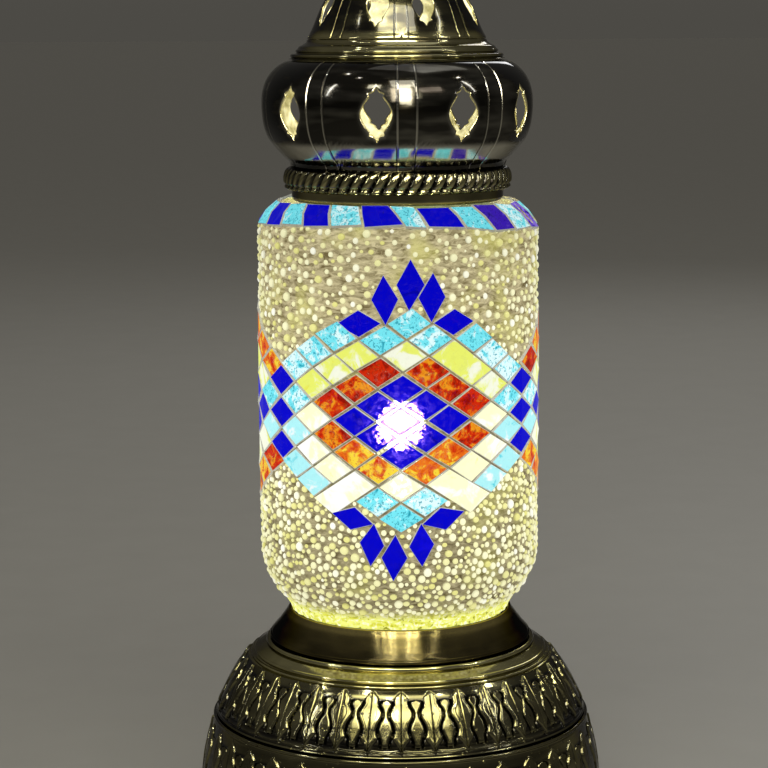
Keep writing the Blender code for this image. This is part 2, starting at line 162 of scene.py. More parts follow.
def bead(radius, height, size, start=90.0, end=-90.0, steps=7):
    """A round bead of this size on a profile: its points, from its top to its bottom."""
    turns = np.radians(np.linspace(start, end, steps))
    return [(radius + size * math.cos(t), height + size * math.sin(t)) for t in turns]


def normals_of(outline):
    """The outward direction at each point of a profile that runs down its outer side."""
    along = np.gradient(outline, axis=0)
    out = np.stack((-along[:, 1], along[:, 0]), axis=1)
    return out / np.maximum(np.linalg.norm(out, axis=1), 1e-9)[:, None]


def turned(name, outline, material, body, replaced, around):
    """A profile turned round the lamp's axis."""
    outline = np.asarray(outline, dtype=float)
    points = polar(outline[:, :1], azimuths(around), outline[:, 1:])
    obj = new_object(name, points.reshape(-1, 3), grid_faces(len(outline), around))
    return link(obj, material, body, replaced)


def rubbed_turning(name, outline, material, body, replaced, rub, around=240):
    """A turned piece of bronze, and how brightly it is rubbed: one number, or one for each point."""
    obj = turned(name, outline, material, body, replaced, around)
    put_attribute(obj, "rub", np.repeat(np.broadcast_to(rub, len(outline)), around))


def step_up(low, high, value):
    """0 below low, 1 above high, and smooth between."""
    t = np.clip((value - low) / (high - low), 0.0, 1.0)
    return t * t * (3 - 2 * t)


# Each medallion's middle, and its degrees per column to the left and right; the front was laid a bit tight
LAYING = {"front": (0.4, 9.2, 9.65), "right": (118.6, 10.25, 10.25), "left": (-115.6, 10.7, 10.6)}

# ---------------------------------------------------------------- materials
BLACK, WHITE = (0.0, 0.0, 0.0, 1.0), (1.0, 1.0, 1.0, 1.0)


class Nodes:
    """A node tree, with short ways to add and wire its nodes."""

    def __init__(self, tree):
        self.tree = tree

    def wire(self, value, socket):
        if isinstance(value, bpy.types.NodeSocket):
            self.tree.links.new(value, socket)
        else:
            socket.default_value = value

    def node(self, kind, inputs=None, **settings):
        made = self.tree.nodes.new(kind)
        for key, value in settings.items():
            setattr(made, key, value)
        for key, value in (inputs or {}).items():
            self.wire(value, made.inputs[key])
        return made

    def math(self, operation, a, b=0.0, clamp=False):
        return self.node("ShaderNodeMath", {0: a, 1: b}, operation=operation, use_clamp=clamp).outputs[0]

    def times(self, a, b):
        return self.math("MULTIPLY", a, b)

    def plus(self, a, b, clamp=False):
        return self.math("ADD", a, b, clamp)

    def minus(self, a, b):
        return self.math("SUBTRACT", a, b)

    def apart(self, a, b):
        """How far apart two numbers are."""
        return self.math("ABSOLUTE", self.minus(a, b))

    def hypotenuse(self, a, b):
        return self.math("SQRT", self.plus(self.math("POWER", a, 2.0), self.math("POWER", b, 2.0)))

    def remap(self, value, low, high, new_low=0.0, new_high=1.0):
        inputs = {"Value": value, "From Min": low, "From Max": high, "To Min": new_low, "To Max": new_high}
        return self.node("ShaderNodeMapRange", inputs).outputs[0]

    def mix(self, share, a, b):
        return self.node("ShaderNodeMix", {0: share, 6: a, 7: b}, data_type="RGBA").outputs[2]

    def noise(self, vector, scale, detail=3.0, roughness=0.55, distortion=0.0):
        inputs = {"Vector": vector, "Scale": scale, "Detail": detail, "Roughness": roughness}
        return self.node("ShaderNodeTexNoise", inputs | {"Distortion": distortion}).outputs[0]

    def place(self):
        """The object's own coordinates, in metres."""
        return self.node("ShaderNodeTexCoord").outputs["Object"]

    def parts(self, vector):
        return self.node("ShaderNodeSeparateXYZ", {0: vector}).outputs

    def attribute(self, name):
        return self.node("ShaderNodeAttribute", attribute_name=name).outputs["Fac"]

    def bump(self, height, strength, distance, over=None):
        inputs = {"Height": height, "Strength": strength, "Distance": distance}
        if over is not None:
            inputs["Normal"] = over
        return self.node("ShaderNodeBump", inputs).outputs[0]

    def level(self):
        return self.parts(self.place())[2]

    def azimuth(self):
        """The angle round the lamp's axis in radians, 0 at the front."""
        x, y, _ = self.parts(self.place())
        return self.math("ARCTAN2", x, self.times(y, -1.0))

    def turned_place(self, fine):
        """Coordinates whose noise runs round the axis in fine lines, as a lathe leaves them."""
        x, y, z = self.parts(self.place())
        radius = self.hypotenuse(x, y)
        inputs = {0: self.times(self.azimuth(), 2.0), 1: self.times(z, fine), 2: self.times(radius, fine)}
        return self.node("ShaderNodeCombineXYZ", inputs).outputs[0]

    def clear(self, tint=WHITE):
        return self.node("ShaderNodeBsdfTransparent", {"Color": tint}).outputs[0]

    def glow(self, colour, strength):
        return self.node("ShaderNodeEmission", {"Color": colour, "Strength": strength}).outputs[0]


class Shader(Nodes):
    """A material's nodes. The keywords are constants on its surface."""

    def __init__(self, name, **constants):
        self.material = bpy.data.materials.new(name)
        self.material.use_nodes = True
        super().__init__(self.material.node_tree)
        self.surface = self.tree.nodes["Principled BSDF"]
        for key, value in constants.items():
            self.set(key.replace("_", " "), value)

    def set(self, name, value):
        self.wire(value, self.surface.inputs[name])

    def show(self, share, first, second):
        """Makes the material this share of the second shader, and the rest of the first."""
        blend = self.node("ShaderNodeMixShader", {0: share, 1: first, 2: second}).outputs[0]
        self.wire(blend, self.tree.nodes["Material Output"].inputs["Surface"])


def rgb(*values):
    """A colour given as sRGB from 0 to 255, made linear."""
    shares = [value / 255.0 for value in values]
    return (*(c / 12.92 if c <= 0.04045 else ((c + 0.055) / 1.055) ** 2.4 for c in shares), 1.0)


def press_channels(shader, normal, pitch, middle, width):
    """The bump of shallow upright channels, given by degrees of pitch, middle and width, and their lit edges."""
    pitch, middle, width = (math.radians(value) for value in (pitch, middle, width))
    angle = shader.minus(shader.azimuth(), middle - pitch / 2)
    off = shader.apart(shader.math("FLOORED_MODULO", angle, pitch), pitch / 2)
    edge = shader.apart(off, width / 2)
    line = shader.remap(edge, 0.0, math.radians(0.7))
    floor = shader.remap(off, width / 2 - math.radians(0.5), width / 2, 0.0, 0.6)
    lit_edge = shader.remap(edge, math.radians(0.2), math.radians(0.6), 0.5, 0.0)
    return shader.bump(shader.plus(line, floor), 1.0, 0.6 * MM, normal), lit_edge


def bronze(name, dark, bright, wear, line_strength=0.1, channels=None, pimples=False, brushed=False):
    """Lacquered antique bronze: a dark patina with turning lines, rubbed bright where it stands proud.
    pimples are the small grains that casting leaves; each catches a point of light."""
    shine = {"Anisotropic": 0.92, "Coat_Weight": 0.1} if brushed else {"Anisotropic": 0.4, "Coat_Weight": 0.5}
    shine |= {"Anisotropic_Rotation": 0.25, "Coat_Roughness": 0.03, "Specular_Tint": rgb(96, 92, 80)}
    shader = Shader(name, Metallic=1.0, **shine)
    lines = shader.noise(shader.turned_place(1500.0), 1.0, 4.0, 0.65)
    broad = shader.noise(shader.turned_place(160.0), 1.0, 2.0)
    blotch = shader.noise(shader.place(), 55.0, 4.0, 0.6)
    rub = shader.times(shader.attribute("rub"), wear)
    worn = shader.plus(rub, shader.remap(broad, 0.45, 0.75, 0.0, 0.22), clamp=True)
    worn = shader.times(worn, shader.remap(blotch, 0.3, 0.65, 0.6, 1.0))
    colour = shader.mix(worn, dark, bright)
    rough = shader.remap(lines, 0.3, 0.7, *((0.1, 0.2) if brushed else (0.07, 0.17)))
    shader.set("Roughness", shader.plus(rough, shader.remap(blotch, 0.55, 0.8, 0.0, 0.08)))
    normal = shader.bump(lines, line_strength, 0.1 * MM)
    if pimples:
        inputs = {"Vector": shader.place(), "Scale": 330.0, "Randomness": 1.0}
        cells = shader.node("ShaderNodeTexVoronoi", inputs)
        grains = shader.remap(cells.outputs["Distance"], 0.04, 0.2, 1.0, 0.0)
        normal = shader.bump(grains, 0.8, 0.3 * MM, normal)
    if channels:
        normal, lit_edge = press_channels(shader, normal, *channels)
        colour = shader.mix(lit_edge, colour, bright)
    shader.set("Base Color", colour)
    shader.set("Normal", normal)
    shader.set("Tangent", shader.node("ShaderNodeTangent", direction_type="RADIAL", axis="Z").outputs[0])
    return shader.material


def lit_lining():
    """The inside of the pierced cap, washed with the bulb's light from below."""
    shader = Shader("lit_brass_lining", Metallic=0.6, Roughness=0.35)
    grain = shader.noise(shader.place(), 120.0, 4.0, 0.6)
    colour = shader.mix(shader.remap(grain, 0.35, 0.65), rgb(160, 152, 104), rgb(242, 238, 204))
    shader.set("Base Color", colour)
    shader.set("Emission Color", colour)
    shader.set("Emission Strength", shader.remap(grain, 0.4, 0.62, 0.45, 1.0))
    shader.set("Normal", shader.bump(grain, 0.3, 0.4 * MM))
    return shader.material


def cut_metal():
    """The bright bare edge that piercing leaves round each hole."""
    shader = Shader("pierced_bright_edge", Metallic=1.0, Roughness=0.2)
    grain = shader.noise(shader.place(), 900.0, 2.0)
    shader.set("Base Color", shader.mix(grain, rgb(190, 180, 130), rgb(240, 232, 190)))
    return shader.material


def glow_falloff(shader, far_level):
    """How strongly the bulb lights this place on the glass: 1 at the nearest, far_level at the furthest."""
    inputs = {0: shader.place(), 1: (0.0, 0.0, BULB_CENTRE * MM)}
    distance = shader.node("ShaderNodeVectorMath", inputs, operation="DISTANCE").outputs["Value"]
    return shader.remap(distance, 50 * MM, 95 * MM, 1.0, far_level)


# The bulb's glare on the glass: its radius, and how far below a medallion's middle it sits
GLARE_RADIUS, GLARE_DROP = 8.6, 1.4


def glare(shader):
    """0.3 where the bulb's glare drowns the middle of a medallion, and 0 outside its ragged edge."""
    off = None
    for middle, _, _ in LAYING.values():
        turn = shader.apart(shader.azimuth(), math.radians(middle))
        off = turn if off is None else shader.math("MINIMUM", off, turn)
    up = shader.minus(shader.level(), (MEDALLION_LEVEL - GLARE_DROP) * MM)
    away = shader.hypotenuse(shader.times(off, TILE_RADIUS * MM), up)
    ragged = shader.noise(shader.place(), 420.0, 3.0, 0.6, 0.4)
    away = shader.plus(away, shader.remap(ragged, 0.35, 0.65, -1.9 * MM, 1.9 * MM))
    return shader.remap(away, GLARE_RADIUS * MM, (GLARE_RADIUS + 0.8) * MM, 0.3, 0.0)


def light_up(shader, colour, darkening, strength, share=None, seen=WHITE):
    """Makes the surface glow in this colour and dims its own; share is how much of the bulb shows through."""
    shader.set("Base Color", shader.mix(darkening, colour, BLACK) if darkening else colour)
    shader.set("Emission Color", colour)
    shader.set("Emission Strength", strength)
    if share is not None:
        share = shader.math("MAXIMUM", share, glare(shader))
        shader.show(share, shader.surface.outputs[0], shader.clear(seen))
    return shader.material


def lit_tile(name, deep, mid, pale, glow, deep_share, pale_share, mottle=200.0, specks=0.0, seen=WHITE):
    """Art glass lit from behind: pale and deep blotches, dark specks, and the bulb seen through it."""
    shader = Shader(name, Roughness=0.2, Coat_Weight=0.05, Coat_Roughness=0.05, Specular_IOR_Level=0.12)
    deep, mid, pale = rgb(*deep), rgb(*mid), rgb(*pale)
    tone = shader.attribute("tone")
    shifted = shader.node("ShaderNodeVectorMath", {0: shader.place(), 1: tone}, operation="ADD").outputs[0]
    broad = shader.noise(shifted, mottle, 4.0, 0.6, 0.7)
    fine = shader.noise(shifted, mottle * 4.5, 3.0, 0.6, 0.3)
    colour = shader.mix(shader.remap(broad, deep_share - 0.07, deep_share + 0.03), deep, mid)
    lifted = shader.plus(broad, shader.remap(tone, 0.0, 1.0, -0.09, 0.09))
    colour = shader.mix(shader.remap(lifted, pale_share - 0.04, pale_share + 0.06), colour, pale)
    if specks:
        colour = shader.mix(shader.times(shader.remap(fine, 0.56, 0.6), specks), colour, deep)
    shader.set("Normal", shader.bump(fine, 0.12, 0.2 * MM))
    thin = shader.remap(fine, 0.48, 0.62, 0.003, 0.06)
    return light_up(shader, colour, 0.9, shader.times(glow_falloff(shader, 0.78), glow), thin, seen)


def cut_edge():
    """The ground edge of a tile: whitish, catching the lamp's light."""
    shader = Shader("tile_cut_edge", Roughness=0.35)
    colour = shader.mix(shader.noise(shader.place(), 900.0, 2.0), rgb(164, 164, 156), rgb(232, 232, 222))
    return light_up(shader, colour, 0.0, shader.times(glow_falloff(shader, 0.5), 0.5), 0.03)


def grout():
    """Thin cream grout trowelled over the glass, lit from behind, and flecked with yellow at its foot."""
    shader = Shader("bead_grout_skin", Roughness=0.75)
    place = shader.place()
    stretched = shader.node("ShaderNodeMapping", {"Vector": place, "Scale": (1.0, 1.0, 2.6)}).outputs[0]
    wrinkle = shader.noise(stretched, 210.0, 5.0, 0.65, 0.9)
    cloud = shader.noise(place, 60.0, 3.0)
    colour = shader.mix(shader.remap(wrinkle, 0.34, 0.62), rgb(112, 98, 62), rgb(214, 202, 158))
    colour = shader.mix(shader.remap(cloud, 0.52, 0.72, 0.0, 0.55), colour, rgb(222, 218, 120))
    low = shader.remap(shader.level(), 92 * MM, 97 * MM, 1.0, 0.0)
    fleck = shader.noise(place, 620.0, 3.0, 0.6, 0.8)
    flecked = shader.mix(shader.remap(wrinkle, 0.42, 0.52), rgb(214, 214, 66), rgb(242, 246, 130))
    flecked = shader.mix(shader.remap(fleck, 0.55, 0.6), flecked, rgb(255, 255, 214))
    flecked = shader.mix(shader.remap(fleck, 0.4, 0.36), flecked, rgb(150, 148, 40))
    colour = shader.mix(low, colour, flecked)
    # Painted shade: the grout in the joints between the tiles is darkened, and glows less there
    colour = shader.mix(shader.times(shader.attribute("gap"), 0.7), colour, rgb(112, 106, 84))
    # Painted glow for the light behind the grout, growing towards the top of the wall
    rising_glow = shader.remap(shader.level(), 130 * MM, 225 * MM, 0.74, 1.2)
    strength = shader.times(shader.times(glow_falloff(shader, 0.8), 0.84), rising_glow)
    # A stronger painted glow in the band at the foot, where the grout is flecked with yellow
    strength = shader.plus(strength, shader.times(low, 0.5))
    shader.set("Normal", shader.bump(wrinkle, 0.9, 0.9 * MM))
    return light_up(shader, colour, 0.6, strength, 0.02)


def glass_bead():
    """Small cream and yellow glass beads, glowing with the light behind them."""
    shader = Shader("glass_beads", Roughness=0.15, Coat_Weight=0.4, Coat_Roughness=0.05, Specular_IOR_Level=0.3)
    tone = shader.attribute("tone")
    colour = shader.mix(shader.remap(tone, 0.0, 0.75), rgb(228, 224, 136), rgb(250, 248, 206))
    colour = shader.mix(shader.remap(tone, 0.85, 1.0), colour, rgb(255, 255, 240))
    # crown dims the painted glow towards each bead's foot: painted shade round its rim
    strength = shader.times(glow_falloff(shader, 0.72), shader.attribute("crown"))
    return light_up(shader, colour, 0.55, shader.times(strength, 1.12))


def plain(name, colour, second, scale, bump=0.1, **constants):
    """A simple two-tone material with a fine grain, for the fittings."""
    shader = Shader(name, **constants)
    grain = shader.noise(shader.place(), scale, 4.0, 0.6)
    shader.set("Base Color", shader.mix(grain, rgb(*colour), rgb(*second)))
    shader.set("Normal", shader.bump(grain, bump, 0.2 * MM))
    return shader.material


PATINA, POLISH = rgb(34, 31, 23), rgb(206, 198, 142)
DRUM_CHANNELS = (360.0 / DRUM_PANELS, 3.8, 8.0)
CROWN_CHANNELS = (360.0 / CROWN_PANELS, 2.6, 9.0)
BRONZE = bronze("antique_bronze", PATINA, POLISH, 0.3, pimples=True)
DRUM_BRONZE = bronze("pressed_drum_bronze", PATINA, rgb(230, 226, 210), 0.8, channels=DRUM_CHANNELS)
RING_BRONZE = bronze("rubbed_ring_bronze", PATINA, rgb(222, 214, 156), 0.85)
CROWN_BRONZE = bronze("pressed_crown_bronze", PATINA, POLISH, 0.6, 0.3, channels=CROWN_CHANNELS)
BRUSHED = bronze("brushed_bronze", rgb(44, 39, 26), rgb(190, 174, 112), 0.56, 0.2, brushed=True)
LINING = lit_lining()
CUT_METAL = cut_metal()
BLUE = (0.3, 0.14, 1.0, 1.0)
# Each glass: its deep, middle and pale tone, how strongly it glows, the noise level below which it is deep
# and the one above which it is pale, the scale of its blotches, its specks' strength, and its tint on the bulb
GLASS_KINDS = {
    "cobalt": ("cobalt_glass", (0, 0, 160), (0, 0, 206), (10, 4, 224), 1.0, 0.36, 0.68, 110.0, 0.0, BLUE),
    "violet": ("violet_glass", (24, 0, 130), (62, 28, 190), (146, 116, 236), 0.95, 0.42, 0.56, 300.0, 0.6, BLUE),
    "turquoise": ("turquoise_glass", (0, 150, 174), (116, 228, 240), (222, 252, 252), 1.12, 0.37, 0.54, 230.0, 0.8),
    "pale": ("pale_turquoise_glass", (84, 210, 226), (176, 244, 248), (250, 255, 255), 1.05, 0.38, 0.57, 140.0),
    "yellow": ("yellow_glass", (232, 222, 50), (240, 248, 112), (252, 255, 232), 1.0, 0.34, 0.49, 120.0),
    "cream": ("cream_glass", (246, 236, 40), (255, 254, 206), (255, 255, 250), 1.1, 0.33, 0.5, 90.0),
    "orange": ("orange_glass", (206, 44, 8), (236, 116, 22), (252, 218, 60), 1.0, 0.43, 0.52, 190.0, 0.5),
    "red": ("red_glass", (150, 10, 0), (216, 42, 6), (246, 158, 30), 0.95, 0.44, 0.55, 210.0, 0.6),
}
GLASSES = {family: lit_tile(*kind) for family, kind in GLASS_KINDS.items()}
EDGE = cut_edge()
GROUT = grout()
BEADS = glass_bead()


# ---------------------------------------------------------------- base
# How wide a leaf is at places down it, then the keyhole recess between two leaves, in half pitches
LEAF_DOWN = (
    *(0.0, 0.02, 0.05, 0.10, 0.14, 0.21, 0.26, 0.30, 0.35, 0.40, 0.45),
    *(0.50, 0.55, 0.62, 0.68, 0.73, 0.77, 0.82, 0.88, 0.94, 1.0),
)
LEAF_WIDE = (
    *(0.0, 0.04, 0.20, 0.40, 0.49, 0.47, 0.55, 0.66, 0.74, 0.73, 0.65),
    *(0.54, 0.46, 0.41, 0.45, 0.53, 0.44, 0.26, 0.15, 0.06, 0.0),
)
RECESS_DOWN = (
    *(0.0, 0.14, 0.155, 0.17, 0.21, 0.25, 0.30, 0.35, 0.40, 0.45),
    *(0.50, 0.55, 0.61, 0.68, 0.73, 0.78, 0.85, 0.87, 0.88, 1.0),
)
RECESS_WIDE = (
    *(-0.4, -0.4, 0.25, 0.44, 0.52, 0.46, 0.33, 0.26, 0.27, 0.35),
    *(0.46, 0.54, 0.58, 0.52, 0.42, 0.36, 0.35, 0.32, -0.4, -0.4),
)


LEAF_COLUMNS = 44


def ridge(off, width):
    """1 where off is 0, falling smoothly to nothing a few widths away."""
    return np.exp(-((off / width) ** 2))


def leaf_relief(across, v, half_pitch, length):
    """Height of the pressed leaves and the keyhole recesses between them, and where it is rubbed.
    across is 0 down a leaf's middle and 1 midway to the next; v runs down the leaf from 0 to 1."""
    width = np.interp(v, LEAF_DOWN, LEAF_WIDE)
    into_leaf = (width - across) * half_pitch
    into_recess = (np.interp(v, RECESS_DOWN, RECESS_WIDE) - (1 - across)) * half_pitch
    share = np.clip(across / np.maximum(width, 0.02), 0, 1)
    # a flat leaf with an engraved midrib and two faint ridges that follow its edge
    leaf = step_up(-0.12, 0.3, into_leaf) * (0.45 + 0.2 * (1 - share**2))
    leaf = leaf - 0.4 * ridge(across * half_pitch, 0.16) * step_up(0.0, 0.4, into_leaf)
    leaf = leaf + 0.1 * ridge(into_leaf - 0.75, 0.2) + 0.07 * ridge(into_leaf - 1.5, 0.2)
    # a deep outline round the recess, and a smooth pillow that swells up inside it
    wall = ridge(into_recess - 0.38, 0.34)
    pillow = step_up(0.2, 1.6, into_recess)
    recess = -1.0 * wall - 0.35 * step_up(-0.1, 0.3, into_recess) * (1 - pillow) + 0.15 * pillow
    # the web between two leaves' feet is hollow, over a raised lip
    web = -0.45 * step_up(0.82, 0.9, v) * step_up(0.0, 0.5, -into_leaf) * step_up(0.0, 0.02, 0.975 - v)
    lip = 0.5 * ridge((0.95 - 0.03 * (1 - across) ** 2 - v) * length, 0.4) * step_up(0.1, 0.5, -into_leaf)
    gable = -0.22 * ridge(into_leaf, 0.16) * step_up(0.0, 0.03, v) * step_up(0.0, 0.04, 0.15 - v)
    rubbed = step_up(-0.05, 0.15, into_leaf) * (0.8 + 0.2 * share) + 0.75 * pillow + lip
    rubbed = rubbed + 0.6 * step_up(0.0, 0.04, 0.14 - v)
    return leaf + recess + web + lip + gable, np.clip(rubbed * (1 - wall), 0, 1)


def fluted_ring(name, points, step, replaced):
    """The part of a shell that carries the pressed leaves, from the top of its outline to its bottom."""
    outline = smooth_curve(points, step)
    around = LEAVES * LEAF_COLUMNS
    pitch = 360.0 / LEAVES
    across = np.abs((azimuths(around) + pitch / 2) % pitch - pitch / 2) / (pitch / 2)
    lengths = lengths_along(outline)
    v = lengths / lengths[-1]
    half_pitch = math.radians(pitch / 2) * outline[:, :1]
    relief, rub = leaf_relief(across[None, :], v[:, None], half_pitch, lengths[-1])
    ends = step_up(0.0, 0.02, v) * step_up(0.0, 0.02, 1 - v)
    relief = relief * ends[:, None]
    out = normals_of(outline)
    radius = outline[:, :1] + relief * out[:, :1]
    points = polar(radius, azimuths(around), outline[:, 1:] + relief * out[:, 1:])
    obj = new_object(name, points.reshape(-1, 3), grid_faces(len(outline), around), 60.0)
    put_attribute(obj, "rub", rub)
    link(obj, BRONZE, STAND, replaced)


# How far below the CAD collar's top its rolled lip was pressed, which leaves a lit band of glass above it
LIP_DROP = 2.0
LIP_LEVEL = COLLAR_HIGH - LIP_DROP


def base():
    top, low, high = DOME_HIGH, COLLAR_LOW, LIP_LEVEL
    rings = profile(
        [(46.4, top - 0.1), (52.2, top)],
        bead(52.6, top - 1.0, 1.0, 80, -70),
        [(53.0, top - 2.0), (54.0, top - 2.2), (56.0, top - 3.2), (57.6, top - 4.1)],
        bead(57.7, top - 4.7, 0.6, 80, -50, 5),
        [(57.9, top - 5.4), (58.6, top - 5.8)],
        bead(59.2, top - 6.3, 0.55, 110, -40, 5),
        [(59.6, top - 6.7), (60.3, top - 6.9), (60.9, top - 6.9)],
        step=0.4,
    )
    rubbed_turning("dome_rings", rings, RING_BRONZE, STAND, (), 0.8)
    dome = [(60.9, 69.0), (62.4, 67.2), (64.0, 64.8), (65.8, 62.3), (67.4, 59.8), (68.8, 57.2), (70.0, 54.8)]
    fluted_ring("fluted_dome", dome + [(71.6, 51.6), (73.0, 48.6), (73.6, 47.0)], 0.24, ("base_dome",))
    rim = profile([(73.6, 47.0), (73.9, 46.7), (73.8, DOME_LOW), (71.9, DOME_LOW)], step=0.3)
    rubbed_turning("dome_rim", rim, BRONZE, STAND, (), 0.8)
    lip = profile(
        [(72.1, SKIRT_HIGH), (74.3, SKIRT_HIGH)],
        bead(74.5, SKIRT_HIGH - 0.7, 0.7, 80, -60, 5),
        [(74.8, SKIRT_HIGH - 1.6), (75.0, 43.4), (75.2, 42.6)],
        step=0.4,
    )
    rubbed_turning("skirt_lip", lip, BRONZE, STAND, (), 0.8)
    skirt = [(75.2, 42.6), (76.2, 38.7), (77.6, 33.5), (78.7, 28.0), (79.4, 22.5), (79.9, 17.0)]
    fluted_ring("fluted_skirt", skirt, 0.26, ("base_skirt",))
    foot = profile(
        [(79.9, 17.0), (80.8, 15.8), (81.2, 13.6), (81.2, 8.0), (81.3, 5.8)],
        [(81.5, 5.6), (82.6, 4.4), (83.0, 3.0), (82.9, 1.4), (82.3, SKIRT_LOW), (80.1, SKIRT_LOW)],
        step=0.4,
    )
    rubbed_turning("skirt_foot", foot, BRONZE, STAND, (), 0.5)
    collar = profile(
        [(43.3, high - 1.0), (43.35, high - 0.1), (43.8, high), (44.25, high - 0.2)],
        [(44.35, high - 0.4), (44.6, 87.2), (45.0, 86.5), (46.5, 84.3), (48.1, 82.1), (49.6, 80.2)],
        [(49.6, 80.2), (50.4, 79.3), (51.0, 78.6), (51.4, 78.0)],
        bead(51.1, low + 1.0, 0.9, 70, -80, 5),
        [(50.8, low), (46.1, low)],
        step=0.4,
    )
    rub = np.clip((collar[:, 1] - 77) / 13, 0.2, 0.8) + 1.0 * step_up(high - 3.2, high - 1.6, collar[:, 1])
    rubbed_turning("glass_collar", collar, BRUSHED, STAND, ("base_collar",), rub)


# ---------------------------------------------------------------- mosaic
TILE_RISE = 6.15
JOINT = 0.42
# A single long tile laid over each of these cells and the next one: its four corners in (column, row)
LONG_TILES = {
    (2, 4): ((3, 3), ((2, 5), (1, 4), (3, 2), (4, 3))),
    (-2, -4): ((-3, -5), ((-2, -3), (-4, -5), (-3, -6), (-1, -4))),
    (2, -4): ((3, -5), ((2, -3), (1, -4), (3, -6), (4, -5))),
}
# Petals of the front medallion, then of the other two: azimuth and height from the middle, half width, half
# height, lean
FRONT_PETALS = (
    (-5.9, 45.8, 5.2, 9.5, 1.0),
    (4.1, 51.4, 5.3, 9.8, -2.0),
    (12.6, 46.4, 5.2, 9.3, -1.0),
    (-11.4, -47.0, 5.0, 8.6, -5.0),
    (-2.6, -52.0, 5.1, 9.2, -3.0),
    (8.2, -47.3, 5.2, 8.8, 2.0),
    (-16.2, 36.8, 8.9, 5.2, 2.0),
    (21.3, 36.8, 8.2, 5.0, -3.0),
    (-19.4, -37.4, 8.4, 4.6, -13.0),
    (17.0, -37.4, 8.6, 4.6, 14.0),
)
PLAIN_PETALS = (
    (-10.0, 47.4, 5.2, 9.4, 2.0),
    (0.0, 53.0, 5.2, 9.4, -2.0),
    (10.0, 47.6, 5.2, 9.4, 1.0),
    (-10.0, -47.6, 5.2, 9.4, -3.0),
    (0.0, -53.0, 5.2, 9.4, 2.0),
    (10.0, -47.4, 5.2, 9.4, 2.0),
    (-20.0, 36.9, 9.0, 5.4, 1.0),
    (20.0, 36.9, 9.0, 5.4, -1.0),
    (-20.0, -36.9, 9.0, 5.4, -2.0),
    (20.0, -36.9, 9.0, 5.4, 2.0),
)
# The columns of each medallion's lattice. The front owns the cells that it shares with its neighbours.
COLUMNS = {"front": range(-8, 9), "right": range(-5, 7), "left": range(-5, 6)}
LAID = []


def laid_at(side, column, row):
    """Where a lattice point was really laid, in unrolled millimetres round the wall and up it."""
    middle, left, right = LAYING[side]
    turn = column * (left if column < 0 else right)
    rise = row * TILE_RISE
    if side == "front":
        if row > 0:
            turn += 0.1 * row**2 * math.exp(-((column / 4.5) ** 2))
        if column < 0:
            rise += 0.3 * max(row, 0) * float(step_up(1.5, 4.5, -column))
        else:
            rise -= 0.38 * row * float(step_up(2.5, 5.5, column))
    return np.array((math.radians(middle + turn) * TILE_RADIUS, MEDALLION_LEVEL + rise))


def family_of(side, column, row):
    """The glass in a lattice cell: rings of colour round the middle of the medallion."""
    i, j = (column - row) // 2, -(column + row) // 2
    ring, other = max(abs(i), abs(j)), min(abs(i), abs(j))
    core, inner, outer = ring <= 1, ring == 2 and other <= 1, ring == 2 or (ring == 3 and other <= 1)
    if abs(column) in (6, 8) or (side == "front" and core):
        return "cobalt"
    if side == "front":
        if inner:
            return "orange" if row < -1 else "red"
        if outer:
            return "yellow" if row > 0 else "cream"
        return "pale" if row < 0 and abs(column) >= 4 else "turquoise"
    if core:
        return "turquoise"
    if inner:
        return "cobalt"
    if outer:
        return "yellow"
    return "red" if (column + row) % 4 else "orange"


def lattice(side):
    """(column, row) of each cell of a medallion."""
    cells = []
    for column in COLUMNS[side]:
        for row in range(-6, 7):
            if (column + row) % 2 or max(abs(column - row), abs(column + row)) > 8:
                continue
            outer = column if side == "left" else -column
            shared = side != "front" and ((outer == 5 and abs(row) == 1) or (outer == 4 and row == 0))
            if not shared and (abs(column), abs(row)) != (2, 6):
                cells.append((column, row))
    return cells


def as_point(radius, azimuth, height):
    return tuple(float(c) for c in polar(radius, azimuth, height))


class TileBatch:
    """Tiles of one colour on one side, joined into one piece."""

    def __init__(self, name, material):
        self.name, self.material = name, material
        self.points, self.faces, self.slots, self.tones = [], [], [], []

    def add_rings(self, rings, tone):
        """rings run from the tile's foot to its top face, each with the same number of points."""
        start, count = len(self.points), len(rings[0])
        for level, ring in enumerate(rings):
            self.points.extend(ring)
            low, high = start + (level - 1) * count, start + level * count
            for k in range(count) if level else ():
                following = (k + 1) % count
                self.faces.append((low + k, low + following, high + following, high + k))
                self.slots.append(1)
        self.faces.append(tuple(high + k for k in range(count)))
        self.slots.append(0)
        self.tones.extend([tone] * (count * len(rings)))

    def add(self, outline, tone, lift=0.0):
        """A tile from its corners on the unrolled wall, a little proud where it can't follow the curve."""
        centre = outline.mean(axis=0)
        rings = []
        for shrink, depth in ((0.0, -1.5), (0.0, -0.08), (0.24, 0.06)):
            ring = []
            for corner in outline:
                away = corner - centre
                u, height = centre + away * (1 - shrink / np.linalg.norm(away))
                radius = TILE_RADIUS + depth + lift + 0.35 * ((u - centre[0]) ** 2) / (2 * TILE_RADIUS)
                ring.append(as_point(radius, math.degrees(u / TILE_RADIUS), height))
            rings.append(ring)
        self.add_rings(rings, tone)
        LAID.append(outline)

    def build(self, replaced, slot):
        obj = new_object(self.name, self.points, self.faces, smooth=False)
        obj.data.polygons.foreach_set("material_index", np.array(self.slots, dtype=np.int32))
        put_attribute(obj, "tone", self.tones)
        link(obj, [self.material, EDGE], STAND, replaced)


def build_all(batches, replaced, slot):
    """Builds the pieces. The first of them replaces the CAD nodes for all."""
    for each in batches:
        each.build(replaced, slot)
        replaced = ()


def side_normal(a, b):
    return np.array((b[1] - a[1], a[0] - b[0])) / np.linalg.norm(b - a)


